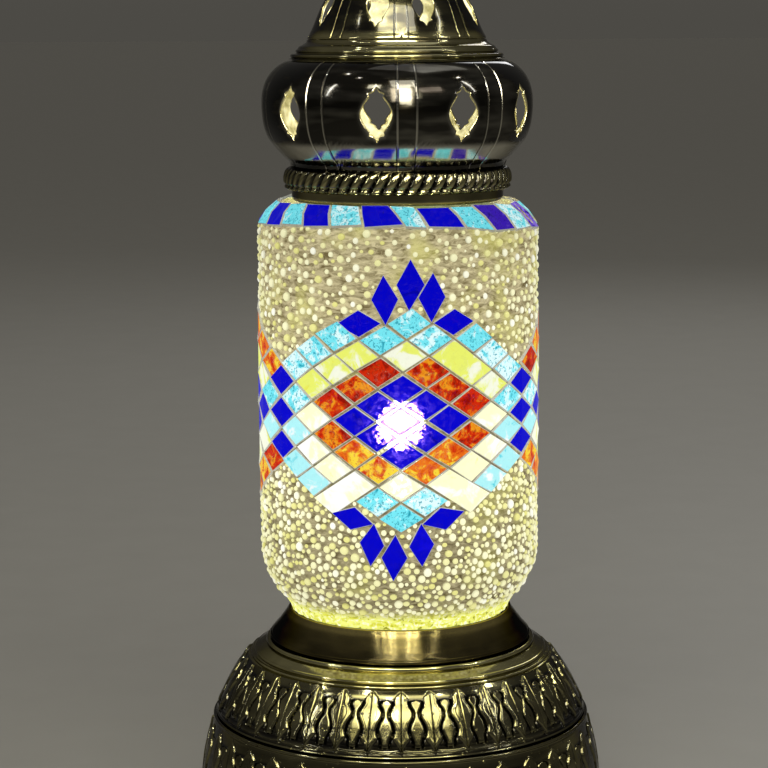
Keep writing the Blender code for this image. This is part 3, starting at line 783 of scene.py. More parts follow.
def inset(outline, gap):
    """The outline with each side moved in by the gap."""
    middle = outline.mean(axis=0)
    sides = []
    for a, b in zip(outline, np.roll(outline, -1, axis=0)):
        normal = side_normal(a, b)
        if normal @ (middle - a) < 0:
            normal = -normal
        sides.append((normal, normal @ a + gap))
    corners = []
    for k, (m, q) in enumerate(sides):
        n, p = sides[k - 1]
        corners.append(np.linalg.solve(np.array((n, m)), np.array((p, q))))
    return np.array(corners)


def rhombus(half_width, half_height, lean):
    points = np.array(((0.0, half_height), (-half_width, 0.0), (0.0, -half_height), (half_width, 0.0)))
    cos, sin = math.cos(math.radians(lean)), math.sin(math.radians(lean))
    return points @ np.array(((cos, sin), (-sin, cos)))


def medallion(side):
    batches = {}

    def batch(family):
        if family not in batches:
            batches[family] = TileBatch(f"tiles_{side}_{family}", GLASSES[family])
        return batches[family]

    long_tiles = LONG_TILES if side == "front" else {}
    swallowed = {second for second, _ in long_tiles.values()}
    for column, row in lattice(side):
        if (column, row) in swallowed:
            continue
        corners = ((column, row + 1), (column - 1, row), (column, row - 1), (column + 1, row))
        if (column, row) in long_tiles:
            corners = long_tiles[(column, row)][1]
        outline = np.array([laid_at(side, c, r) for c, r in corners])
        outline = inset(outline, JOINT) + RNG.normal(0.0, 0.13, (4, 2))
        outline = outline + RNG.normal(0.0, 0.14, 2)
        batch(family_of(side, column, row)).add(outline, float(RNG.random()), RNG.normal(0, 0.1))
    for turn, rise, half_width, half_height, lean in FRONT_PETALS if side == "front" else PLAIN_PETALS:
        outline = rhombus(half_width, half_height, lean) + RNG.normal(0.0, 0.2, (4, 2))
        outline = outline + (math.radians(LAYING[side][0] + turn) * TILE_RADIUS, MEDALLION_LEVEL + rise)
        batch("cobalt").add(outline, float(RNG.random()))
    petal_nodes = [f"petal_{side}_{end}_{n}" for end in ("top", "bottom") for n in (1, 2, 3)]
    build_all(batches.values(), (f"medallion_{side}", *petal_nodes), "mosaic_tile")


def ring_droop(turn):
    """How much lower the foot of the ring of tiles was laid at this azimuth than at the front."""
    sine = np.sin(np.radians(turn))
    return 2.4 * sine**2 + 1.0 * sine


RING_JOINT = 0.45
VIOLET_FROM, VIOLET_TO = 38.0, 80.0


def shoulder_tiles():
    """Slanted tiles edge to edge round the shoulder, turquoise and cobalt in turn, with two violet ones."""
    rng = np.random.default_rng(3)
    families = ("turquoise", "cobalt", "violet")
    batches = [TileBatch(f"ring_tiles_{family}", GLASSES[family]) for family in families]
    low = np.array((53.9, RING_LOW + 5.7))
    slope = np.array((46.8, RING_HIGH + 0.2)) - low
    length = float(np.linalg.norm(slope))
    out = np.array((slope[1], -slope[0])) / length
    cuts = np.arange(SHOULDER_TILES) * (360.0 / SHOULDER_TILES) - 2.4 + rng.normal(0, 0.8, SHOULDER_TILES)
    slants = 4.6 + rng.normal(0, 1.1, SHOULDER_TILES)
    for k in range(SHOULDER_TILES):
        right = (k + 1) % SHOULDER_TILES
        left_cut = cuts[k] + RING_JOINT
        right_cut = cuts[right] + (0.0 if right else 360.0) - RING_JOINT
        ends = rng.normal(0, 0.45, 4) / length
        # corners: azimuth at the level of the middle, share of the slope
        corners = (
            (left_cut - slants[k] / 2, 1.0 + ends[0]),
            (left_cut + slants[k] / 2, ends[1]),
            (right_cut + slants[right] / 2, ends[2]),
            (right_cut - slants[right] / 2, 1.0 + ends[3]),
        )
        centre = np.mean(corners, axis=0)
        rings = []
        for shrink, depth in ((1.0, -0.7), (1.0, 0.35), (0.955, 0.5)):
            ring = []
            for n in range(4):
                a, b = np.array(corners[n]), np.array(corners[(n + 1) % 4])
                for part in (0.0, 0.5):
                    turn, share = centre + (a + (b - a) * part - centre) * shrink
                    swell = 0.9 * math.sin(math.pi * min(max(share, 0.0), 1.0))
                    radius, height = low + slope * share + out * (depth + swell)
                    dip = float(ring_droop(turn)) * (1.0 - 0.6 * share)
                    ring.append(as_point(radius + 0.2 * dip * (1.0 - share), turn, height - dip))
            rings.append(ring)
        violet = k % 2 and VIOLET_FROM < centre[0] < VIOLET_TO
        batches[2 if violet else k % 2].add_rings(rings, float(rng.random()))
    build_all(batches, ("shoulder_tile_ring",), "ring_tile")


# ---------------------------------------------------------------- grout and beads
SKIN_TOP = RING_HIGH - 0.6
SKIN_LOW = COAT_LOW - LIP_DROP - 0.6
WALL_LEVELS = (SKIN_LOW, COAT_LOW, 93.0, 96.0, 99.5, 103.0, 106.5, 110.5, 232.0, 238.0, 241.5, 245.0, SKIN_TOP)
WALL_RADII = (42.95, 43.7, 45.4, 47.6, 50.0, 51.9, 53.3, GROUT_RADIUS, GROUT_RADIUS, 54.3, 54.0, 51.2, 46.6)


def wall_radius(height):
    """Radius of the grout skin at this level: straight, and drawn in at the foot and the shoulder."""
    return np.interp(height, WALL_LEVELS, WALL_RADII)


def lumps(azimuth, height):
    """Trowelled unevenness of the grout, in millimetres, from a few seeded waves."""
    total = np.zeros(np.broadcast(azimuth, height).shape)
    waves = np.random.default_rng(7)
    for _ in range(26):
        turns = int(waves.integers(3, 46))
        rise = waves.uniform(0.05, 0.9)
        phase = waves.uniform(0, 2 * math.pi)
        bend = waves.uniform(0, 2 * math.pi)
        waver = 0.9 * np.sin(height * 0.2 + bend)
        total += np.sin(np.radians(azimuth) * turns + height * rise + phase + waver)
    return total * 0.05


class TileMap:
    """The tiles' outlines on the unrolled wall, to ask how far inside a tile a place is."""

    def __init__(self, outlines):
        self.tiles = []
        for outline in outlines:
            centre = outline.mean(axis=0)
            local = outline - centre
            sides = []
            for a, b in zip(local, np.roll(local, -1, axis=0)):
                normal = side_normal(a, b)
                normal = normal if normal @ a > 0 else -normal
                sides.append((normal, float(normal @ a)))
            self.tiles.append((centre, np.abs(local).max(axis=0), sides))

    def nearest(self, u, height, within):
        """For each place: its depth in a tile (negative outside), and how many tiles are within reach."""
        full = 2 * math.pi * TILE_RADIUS
        depth = np.full(u.shape, -within)
        count = np.zeros(u.shape)
        for centre, size, sides in self.tiles:
            du = (u - centre[0] + full / 2) % full - full / 2
            dh = height - centre[1]
            near = (np.abs(du) < size[0] + within) & (np.abs(dh) < size[1] + within)
            inside = np.full(near.sum(), np.inf)
            for normal, offset in sides:
                inside = np.minimum(inside, offset - normal[0] * du[near] - normal[1] * dh[near])
            depth[near] = np.maximum(depth[near], inside)
            count[near] += inside > -within
        return depth, count


def grout_skin(tiles):
    """The grout, left open behind each tile so that the bulb shows through the glass there."""
    around = 480
    heights = np.concatenate((np.linspace(SKIN_TOP, 110.0, 230), np.linspace(109.4, SKIN_LOW, 52)))
    azimuth, height = np.meshgrid(azimuths(around), heights)
    radius = wall_radius(height) + lumps(azimuth, height)
    u = np.radians(azimuth) * TILE_RADIUS
    depth, _ = tiles.nearest(u, height, 1.0)
    _, count = tiles.nearest(u, height, 0.9)
    faces = grid_faces(len(heights), around)
    hidden = (depth.ravel() > 0.4)[faces].all(axis=1)
    obj = new_object("grout_skin", polar(radius, azimuth, height).reshape(-1, 3), faces[~hidden], 80.0)
    # gap marks the grout between tiles, which the grout material darkens as painted shade
    put_attribute(obj, "gap", count >= 2)
    link(obj, GROUT, STAND, ("grout_coat",))


# The sizes of bead, largest first, and how many of each are thrown at the wall
BEAD_THROWS = ((1.7, 420), (1.4, 3200), (1.15, 9000), (0.95, 15000), (0.78, 12000))
BEAD_CELL = 4.2


def scatter_beads(tiles):
    """Beads thrown at the wall in size order, kept where they touch no tile and no other bead."""
    rng = np.random.default_rng(11)
    taken = {}
    kept = []
    half = math.pi * TILE_RADIUS
    for size, tries in BEAD_THROWS:
        u = rng.uniform(-half, half, tries)
        height = rng.uniform(COAT_LOW + 4.2, SKIN_TOP - 7.0, tries)
        radius = size * rng.uniform(0.88, 1.1, tries)
        azimuth = np.degrees(u / TILE_RADIUS)
        # every side was beaded thinly near the top of its middle, and thickly near the foot
        middle = ridge((azimuth + 60) % 120 - 60, 30)
        thin = 0.8 * step_up(150.0, 195.0, height) * (0.45 + 0.55 * middle)
        depth, _ = tiles.nearest(u, height, 2.0)
        below_ring = height < SKIN_TOP - 7.0 - ring_droop(azimuth)
        wanted = (rng.random(tries) > thin) & (depth < -0.75 * radius) & below_ring
        shade = rng.random(tries)
        for n in np.nonzero(wanted)[0]:
            here, level, size = u[n], height[n], radius[n]
            column, row = int(here // BEAD_CELL), int(level // BEAD_CELL)
            cells = [(column + i, row + j) for i in (-1, 0, 1) for j in (-1, 0, 1)]
            near = [other for cell in cells for other in taken.get(cell, ())]
            apart = 1.25 if thin[n] > 0.3 else 0.98
            if any((here - x) ** 2 + (level - y) ** 2 < (apart * (size + r)) ** 2 for x, y, r in near):
                continue
            taken.setdefault((column, row), []).append((here, level, size))
            kept.append((azimuth[n], level, size, shade[n]))
    return kept


# A bead's rings from its foot up: how wide, how high, and how brightly each glows, as shares of its radius
# The glow is painted, and dimmer towards the foot: painted shade round each bead's rim
BEAD_RINGS = ((1.0, -0.35, 0.2), (0.97, 0.1, 0.55), (0.76, 0.46, 0.95), (0.4, 0.64, 1.0))
BEAD_TOP = 0.72
BEAD_SIDES = 10


def bead_pieces(beads):
    """Domed beads in three pieces, one to each side of the lamp."""
    ring_turns = [(math.cos(turn), math.sin(turn)) for turn in np.radians(azimuths(BEAD_SIDES))]
    crown = [glow for _, _, glow in BEAD_RINGS for _ in ring_turns] + [1.0]
    quads = grid_faces(len(BEAD_RINGS), BEAD_SIDES)[:, (0, 3, 2, 1)]
    last, top = len(crown) - 1 - BEAD_SIDES, len(crown) - 1
    fan = np.array([(last + k, last + (k + 1) % BEAD_SIDES, top) for k in range(BEAD_SIDES)])
    for side, centre in (("front", 0.0), ("right", 120.0), ("left", -120.0)):
        points, faces, tones, crowns = [], [], [], []

        def add_point(radius, angle, height):
            points.append((radius * math.sin(angle) * MM, -radius * math.cos(angle) * MM, height * MM))

        for azimuth, height, radius, tone in beads:
            if abs((azimuth - centre + 180) % 360 - 180) > 60.0:
                continue
            start = len(points)
            angle = math.radians(azimuth)
            wall = float(wall_radius(height))
            # the foot of the wall leans inwards, and the beads lean with it
            lean = float(wall_radius(height + 0.5) - wall_radius(height - 0.5))
            out = Vector((1.0, -lean)).normalized()
            up = Vector((-out.y, out.x))
            stretch = 1.0 + 0.25 * (tone - 0.5)
            for scale, rise, _ in BEAD_RINGS:
                for cos, sin in ring_turns:
                    across = radius * scale * cos
                    along = radius * scale * sin * stretch
                    r = wall + out.x * rise * radius + up.x * along
                    h = height + out.y * rise * radius + up.y * along
                    add_point(r, angle + across / wall, h)
            add_point(wall + out.x * BEAD_TOP * radius, angle, height + out.y * BEAD_TOP * radius)
            faces.extend((quads + start).tolist() + (fan + start).tolist())
            tones.extend([tone] * len(crown))
            crowns.extend(crown)
        obj = new_object(f"beads_{side}", points, faces, 180.0)
        put_attribute(obj, "tone", tones)
        put_attribute(obj, "crown", crowns)
        link(obj, BEADS, STAND, ())


# ---------------------------------------------------------------- cap
# A quarter of a pierced ogee, from its top round to its side, as shares of its half width and half height
OGEE = (
    *((0.0, 1.0), (0.10, 0.88), (0.22, 0.79), (0.44, 0.75), (0.50, 0.70)),
    *((0.42, 0.63), (0.58, 0.50), (0.80, 0.32), (0.95, 0.14), (1.0, 0.0)),
)
PER_SIDE, HOLE_RINGS = 24, 16


def hole_loop(height, width):
    """The whole outline, starting at its lower right, with PER_SIDE points to each side of its panel."""
    quarter = np.array([(w * width / 2, h * height / 2) for w, h in OGEE])
    right_up = quarter[::-1]
    quarters = (right_up, quarter * (-1, 1), right_up * (-1, -1), quarter * (1, -1))
    loop = np.vstack([each[:-1] for each in quarters] + [right_up[:1]])
    steps = lengths_along(loop)
    count = PER_SIDE * 4
    # corners of the panel face the middles of the quarters, so the samples start half a side early
    places = (np.arange(count) / count - 0.125) % 1.0 * steps[-1]
    return np.stack((np.interp(places, steps, loop[:, 0]), np.interp(places, steps, loop[:, 1])), axis=1)


def panel_loop(left, right, low, high):
    """The panel's edge: up its right side, across its top, down its left side and back."""
    t = np.arange(PER_SIDE) / PER_SIDE
    up = low + (high - low) * t
    along = right + (left - right) * t
    level = np.concatenate((up, np.full(PER_SIDE, high), high + low - up, np.full(PER_SIDE, low)))
    across = np.concatenate((np.full(PER_SIDE, right), along, np.full(PER_SIDE, left), left + right - along))
    return np.stack((across, level), axis=1)


def pierced_shell(name, outline, first, holes, hole, hole_level, material, replaced):
    """A turned shell of panels, the first centred at first, each with an ogee hole struck at its own azimuth,
    lined inside with bare lit metal."""
    lengths = lengths_along(outline)
    from_top = np.interp(-hole_level, -outline[:, 1], lengths)
    pitch = 360.0 / len(holes)
    hole_points = hole_loop(*hole)
    hole_points[:, 0] = np.degrees(hole_points[:, 0] / np.interp(from_top, lengths, outline[:, 0]))
    edge = panel_loop(-pitch / 2, pitch / 2, from_top - lengths[-1], from_top)
    below = hole_level - hole[0] / 2 - outline[:, 1]
    foot_shine = 1.2 * step_up(0.6, 3.0, below) * step_up(0.0, 1.5, 8.6 - below)
    along_outline = (*outline.T, *normals_of(outline).T, foot_shine)
    count = PER_SIDE * 4
    points, faces, rubs, slots = [], [], [], []
    for panel, hole_azimuth in enumerate(holes):
        centre = first + panel * pitch
        off_centre = (hole_azimuth - centre + 180.0) % 360.0 - 180.0
        for ring in range(HOLE_RINGS + 1):
            t = ring / HOLE_RINGS
            blend = t**1.35
            flat = (hole_points + (off_centre, 0.0)) * (1 - blend) + edge * blend
            down = from_top - flat[:, 1]
            radius, level, nr, nz, shine = (np.interp(down, lengths, values) for values in along_outline)
            depth = -0.35 * math.exp(-((t / 0.04) ** 2))
            points.append(polar(radius + nr * depth, flat[:, 0] + centre, level + nz * depth))
            edge_rub = 1.0 if ring == 0 else 0.75 * math.exp(-((t / 0.1) ** 2))
            rubs.append(np.maximum(edge_rub, shine))
        faces.append(grid_faces(HOLE_RINGS + 1, count) + panel * (HOLE_RINGS + 1) * count)
        slots.append(np.where(np.arange(HOLE_RINGS * count) < count, 2, 0))
    obj = new_object(name, np.vstack(points), np.vstack(faces), 50.0)
    obj.data.polygons.foreach_set("material_index", np.concatenate(slots).astype(np.int32))
    put_attribute(obj, "rub", np.concatenate(rubs))
    obj.modifiers.new("Weld", "WELD").merge_threshold = 0.02 * MM
    thick = obj.modifiers.new("Wall", "SOLIDIFY")
    thick.thickness = 1.1 * MM
    thick.offset = -1.0
    thick.material_offset = 1
    thick.material_offset_rim = 2
    link(obj, [material, LINING, CUT_METAL, CUT_METAL], CAP, replaced)


def cap():
    collar = profile(
        [(39.9, 263.4), (41.6, 263.4)],
        [(41.6, 263.2), (41.0, 262.0), (41.0, 256.0), (41.2, 255.6)],
        [(41.3, 255.2), (41.3, CAP_LOW + 1.2), (41.1, CAP_LOW + 0.5), (40.7, CAP_LOW)],
        [(40.6, CAP_LOW), (39.6, CAP_LOW + 0.1), (39.5, CAP_LOW + 2.0), (39.5, 261.0)],
        step=0.5,
    )
    rubbed_turning("collar_band", collar, RING_BRONZE, CAP, ("cap_collar",), 0.4, 192)
    rope()
    top, low = DRUM_HIGH, DRUM_LOW
    shoulder = [(41.0, top), (42.4, top), (44.6, 303.2), (47.3, 301.3), (49.8, 298.5), (51.6, 295.0)]
    waist = [(52.8, 286.2), (52.4, 281.6), (51.6, 277.8), (50.3, 274.5), (48.9, 272.4), (47.4, 270.65)]
    drum = profile(
        shoulder + [(52.6, 290.8), (52.8, 286.2)],
        waist + [(45.9, 268.9), (44.4, 267.15)],
        [(44.4, 267.15), (43.2, 266.1), (42.3, 265.4), (41.8, low), (41.7, low - 1.7)],
        step=0.7,
    )
    pierced_shell("pierced_drum", drum, 28.4, DRUM_HOLES, (20.6, 12.0), 284.9, DRUM_BRONZE, ("cap_drum",))
    top, low = LEDGE_HIGH, LEDGE_LOW
    ledge = profile(
        [(33.2, top - 0.1), (34.6, top), (35.0, top - 0.8)],
        [(35.2, top - 1.1), (36.4, top - 1.9), (37.8, top - 2.6), (38.6, top - 3.6)],
        bead(38.7, top - 4.4, 0.6, 60, -70, 5),
        [(38.9, top - 5.2), (40.2, top - 5.5)],
        bead(40.6, top - 6.2, 0.75, 80, -60, 6),
        [(41.2, top - 7.0), (41.9, low + 0.1), (41.6, low), (40.9, low - 0.1)],
        [(40.8, low - 0.2), (40.8, low - 1.2), (40.4, low - 1.2), (38.0, low)],
        step=0.35,
    )
    rubbed_turning("stepped_ledge", ledge, RING_BRONZE, CAP, ("cap_ledge",), 0.5)
    top = CROWN_HIGH
    crown = profile(
        [(3.4, top), (7.8, top - 0.5), (11.8, top - 2.0), (15.4, top - 4.2), (19.2, top - 7.4)],
        [(19.2, top - 7.4), (22.6, 334.6), (25.6, 330.6), (28.0, 326.9), (29.7, 323.6)],
        [(29.7, 323.6), (31.0, 320.6), (32.3, 317.4), (33.5, 314.8), (34.5, 313.0), (34.7, CROWN_LOW)],
        step=0.7,
    )
    pierced_shell("pierced_crown", crown, 25.0, CROWN_HOLES, (17.4, 8.6), 325.2, CROWN_BRONZE, ("cap_crown",))


def rope():
    """The twisted ring: strands that slant as they go round, with tight dark creases between them."""
    around = ROPE_BEADS * 16
    azimuth = azimuths(around)
    middle = (ROPE_LOW + ROPE_HIGH) / 2
    rows, rubs = [], []
    for turn in np.radians(np.linspace(100, -100, 34)):
        cos, sin = math.cos(turn), math.sin(turn)
        phase = azimuth / 360.0 * ROPE_BEADS - sin * 0.5
        swell = np.sqrt(np.clip(1.0 - np.abs(2 * (phase % 1.0) - 1) ** 2.2, 0, 1))
        # each strand ends in a small round knob at the ring's lower edge
        size = 0.5 + 0.5 * swell + 0.2 * ridge(sin + 0.78, 0.16) * swell
        waist = 1.0 - 0.22 * ridge(sin + 0.52, 0.1)
        radius = 41.5 + 3.1 * max(cos, 0.0) ** 0.8 * size * waist
        rows.append(polar(radius, azimuth, middle + 4.35 * sin * (0.9 + 0.1 * size)))
        rubs.append(step_up(0.75, 1.0, swell) * max(0.0, cos))
    obj = new_object("twisted_ring", np.vstack(rows), grid_faces(len(rows), around), 70.0)
    put_attribute(obj, "rub", np.concatenate(rubs))
    link(obj, RING_BRONZE, CAP, ("rope_ring",))


def finial():
    z = FINIAL_LOW
    cup = profile(
        [(2.8, z + 7.9), (4.2, z + 7.9)],
        bead(4.4, z + 7.2, 0.7, 90, -60, 5),
        [(4.6, z + 6.4), (5.8, z + 5.6), (6.8, z + 4.4), (7.8, z + 3.0)],
        bead(8.4, z + 1.8, 0.8, 80, -60, 5),
        [(8.9, z + 0.9), (9.3, z + 0.4), (9.3, z), (2.8, z)],
        step=0.3,
    )
    rubbed_turning("turned_cup", cup, BRUSHED, FINIAL, ("finial_cup",), 0.5, 96)
    z = FINIAL_HIGH
    taper = [(1.2, z - 5.3), (1.5, z - 6.0), (1.2, z - 6.8), (1.4, z - 10.0), (2.0, z - 15.5)]
    vase = [(3.7, z - 27.4), (3.4, z - 28.2), (4.2, z - 29.4), (5.6, z - 31.6), (6.2, z - 34.2)]
    spire = profile(
        [(0.02, z), (1.1, z - 0.5), (1.9, z - 1.7), (2.2, z - 3.0), (1.9, z - 4.3), (1.2, z - 5.3)],
        taper + [(2.9, z - 21.0), (3.7, z - 24.4)],
        bead(3.9, z - 26.2, 0.9, 80, -80, 6),
        vase + [(5.8, z - 36.8), (4.8, z - 39.0), (4.1, z - 40.3)],
        [(4.0, z - 40.5), (2.8, z - 40.5)],
        step=0.4,
    )
    rubbed_turning("turned_spire", spire, BRUSHED, FINIAL, ("finial_spire",), 0.55, 96)


# ---------------------------------------------------------------- glass, bulb and fittings
def clear_wall():
    """The blown glass itself: clear, so that the bulb shows through where the tiles let it."""
    shader = Shader("blown_glass", Roughness=0.05)
    ripple = shader.noise(shader.place(), 90.0, 2.0)
    clear = shader.clear(shader.mix(ripple, rgb(236, 244, 238), rgb(250, 253, 250)))
    inputs = {"Roughness": 0.06, "Normal": shader.bump(ripple, 0.05, 0.4 * MM)}
    gloss = shader.node("ShaderNodeBsdfGlossy", inputs).outputs[0]
    fresnel = shader.node("ShaderNodeFresnel", {"IOR": 1.5}).outputs[0]
    shader.show(shader.times(fresnel, 0.35), clear, gloss)
    return shader.material


def bulb_glass():
    """A frosted globe that lets the hot middle show."""
    shader = Shader("bulb_glass_lit")
    warm = shader.mix(shader.noise(shader.place(), 400.0, 2.0), rgb(255, 236, 200), rgb(255, 246, 226))
    shader.show(0.35, shader.clear((1.0, 0.98, 0.94, 1.0)), shader.glow(warm, 2.0))
    return shader.material


def hot_core(strength, clear_share=0.0):
    """The glowing middle of the bulb, or a fainter halo that the middle shows through."""
    shader = Shader(f"bulb_glow_{strength:.0f}")
    white = shader.mix(shader.noise(shader.place(), 700.0, 2.0), rgb(255, 244, 226), rgb(255, 255, 252))
    shader.show(clear_share, shader.glow(white, strength), shader.clear())
    return shader.material


def fittings():
    """Materials for the CAD nodes that stay as they are."""
    steel = plain("zinc_steel", (176, 178, 176), (206, 206, 200), 500.0, Metallic=1.0, Roughness=0.34)
    iron = plain("cast_iron", (36, 36, 36), (58, 57, 55), 300.0, 0.5, Metallic=0.4, Roughness=0.65)
    felt = plain("black_felt", (22, 22, 22), (44, 43, 42), 1400.0, 0.8, Roughness=0.95, Sheen_Weight=0.5)
    rubber = plain("black_rubber", (20, 20, 20), (32, 32, 32), 900.0, 0.2, Roughness=0.6)
    plastic = plain("ivory_plastic", (226, 221, 205), (236, 232, 220), 300.0, 0.05, Roughness=0.38)
    brass = plain("contact_brass", (206, 168, 92), (226, 192, 120), 600.0, 0.15, Metallic=1.0, Roughness=0.28)
    shiny = plain("bulb_cap_metal", (196, 196, 192), (222, 222, 216), 600.0, 0.2, Metallic=1.0, Roughness=0.25)
    tube = ("tube_nut_bottom", "tube_washer_bottom", "tube_nut_top", "tube_washer_top", "stem_tube")
    wanted = (
        (felt, ("foot_pad", "glass_gasket")),
        (steel, ("bottom_plate", "glass_seat", "stud_nut", "finial_stud", *tube)),
        (iron, ("ballast_weight",)),
        (rubber, ("cord_grommet",)),
        (plastic, ("holder_cup", "holder_shell", "holder_core")),
        (brass, ("thread_sleeve", "centre_contact", "bulb_contact")),
        (shiny, ("bulb_screw_cap",)),
        (hot_core(40.0), ("bulb_stem",)),
        (clear_wall(), ("glass_pillar",)),
    )
    for material, names in wanted:
        for name in names:
            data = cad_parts[name].data
            data.materials.clear()
            data.materials.append(material)


# The glow inside the bulb, from the middle out: half width, half height, strength, how much shows through
BULB_GLOW = (
    ("bulb_heart", 10.8, 10.4, 300.0, 0.0),
    ("bulb_halo", 13.4, 13.4, 24.0, 0.5),
    ("bulb_haze", 16.4, 16.4, 5.0, 0.5),
)


def oval(width, height, last, step):
    """An oval's outline round the bulb's middle, from its top down to the last angle in degrees."""
    turns = [math.radians(degrees) for degrees in range(90, last - 1, -step)]
    outline = [(width * math.cos(t), BULB_CENTRE + height * math.sin(t)) for t in turns]
    outline[0] = (0.01, BULB_CENTRE + height)
    return outline


def bulb():
    radius, low = reach("bulb_globe"), span("bulb_globe")[0]
    neck = [(11.6, BULB_CENTRE - 20.8), (10.8, BULB_CENTRE - 24.0), (10.3, low + 1.5), (10.1, low)]
    globe = oval(radius, radius, -55, 5) + neck
    turned("bulb_globe_lit", globe, bulb_glass(), BULB, ("bulb_globe",), 64)
    for name, width, height, strength, clear_share in BULB_GLOW:
        core = oval(width, height, -90, 15)
        core[-1] = (0.01, core[-1][1])
        turned(name, core, hot_core(strength, clear_share), BULB, (), 32)


# ---------------------------------------------------------------- stage
# The room's soft light: as bright at the horizon as the floor is far off, so that the two meet without a line
HORIZON, ZENITH = rgb(76, 74, 69), rgb(108, 106, 101)
FLOOR_REACH = 40.0

# The metal mirrors every light that falls on it, so each of these groups has lights of its own
BASE_METAL = ("dome_rings", "fluted_dome", "dome_rim", "skirt_lip", "fluted_skirt", "skirt_foot")
CAP_RINGS = ("pierced_crown", "stepped_ledge", "collar_band", "twisted_ring")
DRUM = ("pierced_drum",)
CAP_METAL = DRUM + CAP_RINGS + ("turned_cup", "turned_spire")
COLLAR = ("glass_collar",)

NEUTRAL = (1.0, 1.0, 1.0)
# Azimuth, elevation, distance, width and height in metres, watts, colour, and the pieces lit, or () for all
LIGHTS = {
    "warm_front": (0.0, 46.0, 1.8, 2.0, 0.7, 30.0, (1.0, 0.95, 0.62), BASE_METAL),
    "key_front": (-10.0, 42.0, 1.6, 0.1, 0.4, 4.4, (1.0, 0.98, 0.93), BASE_METAL),
    "left_strip": (-62.0, 30.0, 1.7, 0.05, 0.7, 2.4, NEUTRAL, BASE_METAL + CAP_METAL),
    "right_strip": (70.0, 34.0, 1.7, 0.05, 0.7, 2.4, NEUTRAL, BASE_METAL + CAP_METAL),
    "base_spark_a": (-36.0, 58.0, 1.7, 0.07, 0.07, 2.2, NEUTRAL, BASE_METAL),
    "base_spark_b": (38.0, 52.0, 1.7, 0.07, 0.07, 2.2, NEUTRAL, BASE_METAL),
    "base_spark_c": (-80.0, 48.0, 1.7, 0.07, 0.07, 2.2, NEUTRAL, BASE_METAL),
    "base_spark_d": (86.0, 44.0, 1.7, 0.07, 0.07, 2.2, NEUTRAL, BASE_METAL),
    "cap_spark_a": (-86.0, 66.0, 1.7, 0.05, 0.05, 0.8, NEUTRAL, CAP_METAL),
    "cap_spark_b": (76.0, 54.0, 1.7, 0.05, 0.05, 1.0, NEUTRAL, CAP_METAL),
    "cap_spark_c": (-52.0, 62.0, 1.7, 0.05, 0.05, 0.5, NEUTRAL, CAP_METAL),
    "overhead": (150.0, 74.0, 1.7, 0.9, 0.9, 2.5, NEUTRAL, ()),
    "back_rim": (165.0, 30.0, 1.9, 0.2, 0.8, 2.5, NEUTRAL, ()),
    "collar_soft": (4.0, 52.0, 1.7, 0.8, 0.9, 5.0, (1.0, 0.95, 0.7), COLLAR),
    "cap_soft": (-22.0, 41.0, 1.7, 0.28, 0.28, 4.0, (1.0, 0.97, 0.8), CAP_METAL),
    "cap_side": (30.0, 33.0, 1.7, 0.5, 0.3, 1.6, (1.0, 0.86, 0.76), CAP_METAL),
    "cap_warm": (0.0, 46.0, 1.8, 1.3, 0.6, 27.0, (1.0, 0.97, 0.82), CAP_RINGS),
    "drum_wide": (4.0, 24.0, 1.7, 0.5, 0.9, 9.0, (1.0, 0.88, 0.7), DRUM),
    "drum_tall": (7.0, 26.0, 1.7, 0.3, 1.3, 17.0, (1.0, 0.95, 0.76), DRUM),
    "drum_high": (6.0, 50.0, 1.7, 0.5, 0.5, 9.0, (1.0, 0.97, 0.84), DRUM),
    "cap_streak_-1": (-1, 34.0, 1.7, 0.02, 1.2, 1.8, (1.0, 0.96, 0.76), CAP_METAL),
    "cap_streak_17": (17, 34.0, 1.7, 0.03, 1.2, 2.4, (1.0, 0.96, 0.76), CAP_METAL),
}
# The azimuths and watts of the narrow lights that draw upright streaks on the brushed collar
COLLAR_STREAKS = ((-29, 1.2), (-20, 1.6), (-12, 2.4), (-7, 1.2), (11, 2.6), (19, 1.6), (43, 1.2))


def softbox(name, azimuth, elevation, distance, width, height, power, colour, only):
    """A soft light that faces the lamp, and lights only the named pieces where any are named."""
    light = bpy.data.lights.new(name, "AREA")
    light.shape = "RECTANGLE"
    light.size, light.size_y, light.energy, light.color = width, height, power, colour
    obj = bpy.data.objects.new(name, light)
    a, e = math.radians(azimuth), math.radians(elevation)
    away = Vector((math.sin(a) * math.cos(e), -math.cos(a) * math.cos(e), math.sin(e)))
    obj.location = Vector((0.0, 0.0, 0.2)) + away * distance
    obj.rotation_euler = (-away).to_track_quat("-Z", "Y").to_euler()
    obj.visible_camera = False
    bpy.context.scene.collection.objects.link(obj)
    if only:
        receivers = bpy.data.collections.new(f"{name}_lights")
        for piece in only:
            receivers.objects.link(bpy.data.objects[piece])
        obj.light_linking.receiver_collection = receivers


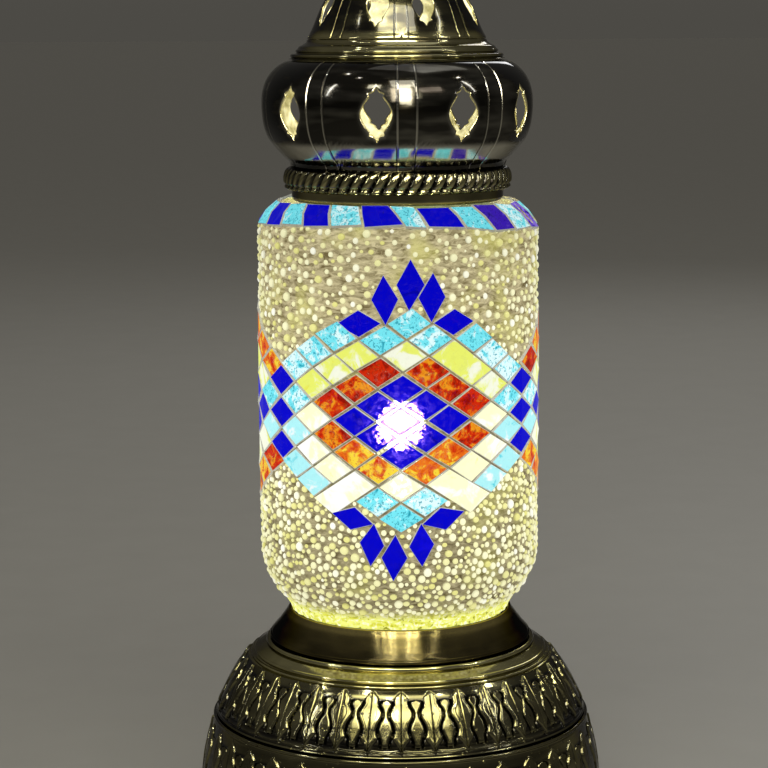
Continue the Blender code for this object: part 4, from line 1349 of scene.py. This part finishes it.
def lights():
    metal = BASE_METAL + CAP_METAL + COLLAR
    others = [obj.name for obj in bpy.data.objects if obj.type == "MESH" and obj.name not in metal]
    softbox("soft_front", 0.0, 46.0, 1.8, 2.2, 0.7, 11.0, (1.0, 0.97, 0.84), others)
    for name, settings in LIGHTS.items():
        softbox(name, *settings)
    for azimuth, power in COLLAR_STREAKS:
        softbox(f"collar_streak_{azimuth}", azimuth, 52.0, 1.7, 0.015, 1.5, power, (1.0, 0.97, 0.84), COLLAR)


def floor():
    corners = [(x * FLOOR_REACH, y * FLOOR_REACH, 0.0) for x, y in ((-1, -1), (1, -1), (1, 1), (-1, 1))]
    obj = new_object("floor", corners, [(0, 1, 2, 3)])
    shader = Shader("pale_floor", Roughness=0.5)
    grain = shader.noise(shader.place(), 30.0, 3.0)
    shader.set("Base Color", shader.mix(grain, rgb(176, 174, 168), rgb(184, 182, 176)))
    bpy.context.scene.collection.objects.link(obj)
    obj.data.materials.append(shader.material)


def room():
    """Soft light from all round, a little brighter overhead."""
    world = bpy.data.worlds.new("studio")
    bpy.context.scene.world = world
    world.use_nodes = True
    sky = Nodes(world.node_tree)
    height = sky.parts(sky.node("ShaderNodeTexCoord").outputs["Generated"])[2]
    tone = sky.mix(sky.remap(height, 0.0, 0.6), HORIZON, ZENITH)
    sky.wire(tone, sky.tree.nodes["Background"].inputs[0])


def camera():
    """The photograph's viewing angle: from just above the cap, tipped down a little, filling the frame."""
    data = bpy.data.cameras.new("camera")
    data.lens = 112.5
    data.sensor_width = 36.0
    obj = bpy.data.objects.new("camera", data)
    away, height, pitch, roll = 0.939, 0.319, -8.6, 0.35
    obj.location = (-0.0049, -away, height)
    obj.rotation_euler = (math.radians(90.0 + pitch), math.radians(roll), 0.0)
    bpy.context.scene.collection.objects.link(obj)
    bpy.context.scene.camera = obj
    bpy.context.scene.view_settings.view_transform = "Standard"


camera()
base()
for side_name in LAYING:
    medallion(side_name)
tile_map = TileMap(LAID)
shoulder_tiles()
grout_skin(tile_map)
bead_pieces(scatter_beads(tile_map))
cap()
finial()
bulb()
fittings()
floor()
room()
lights()
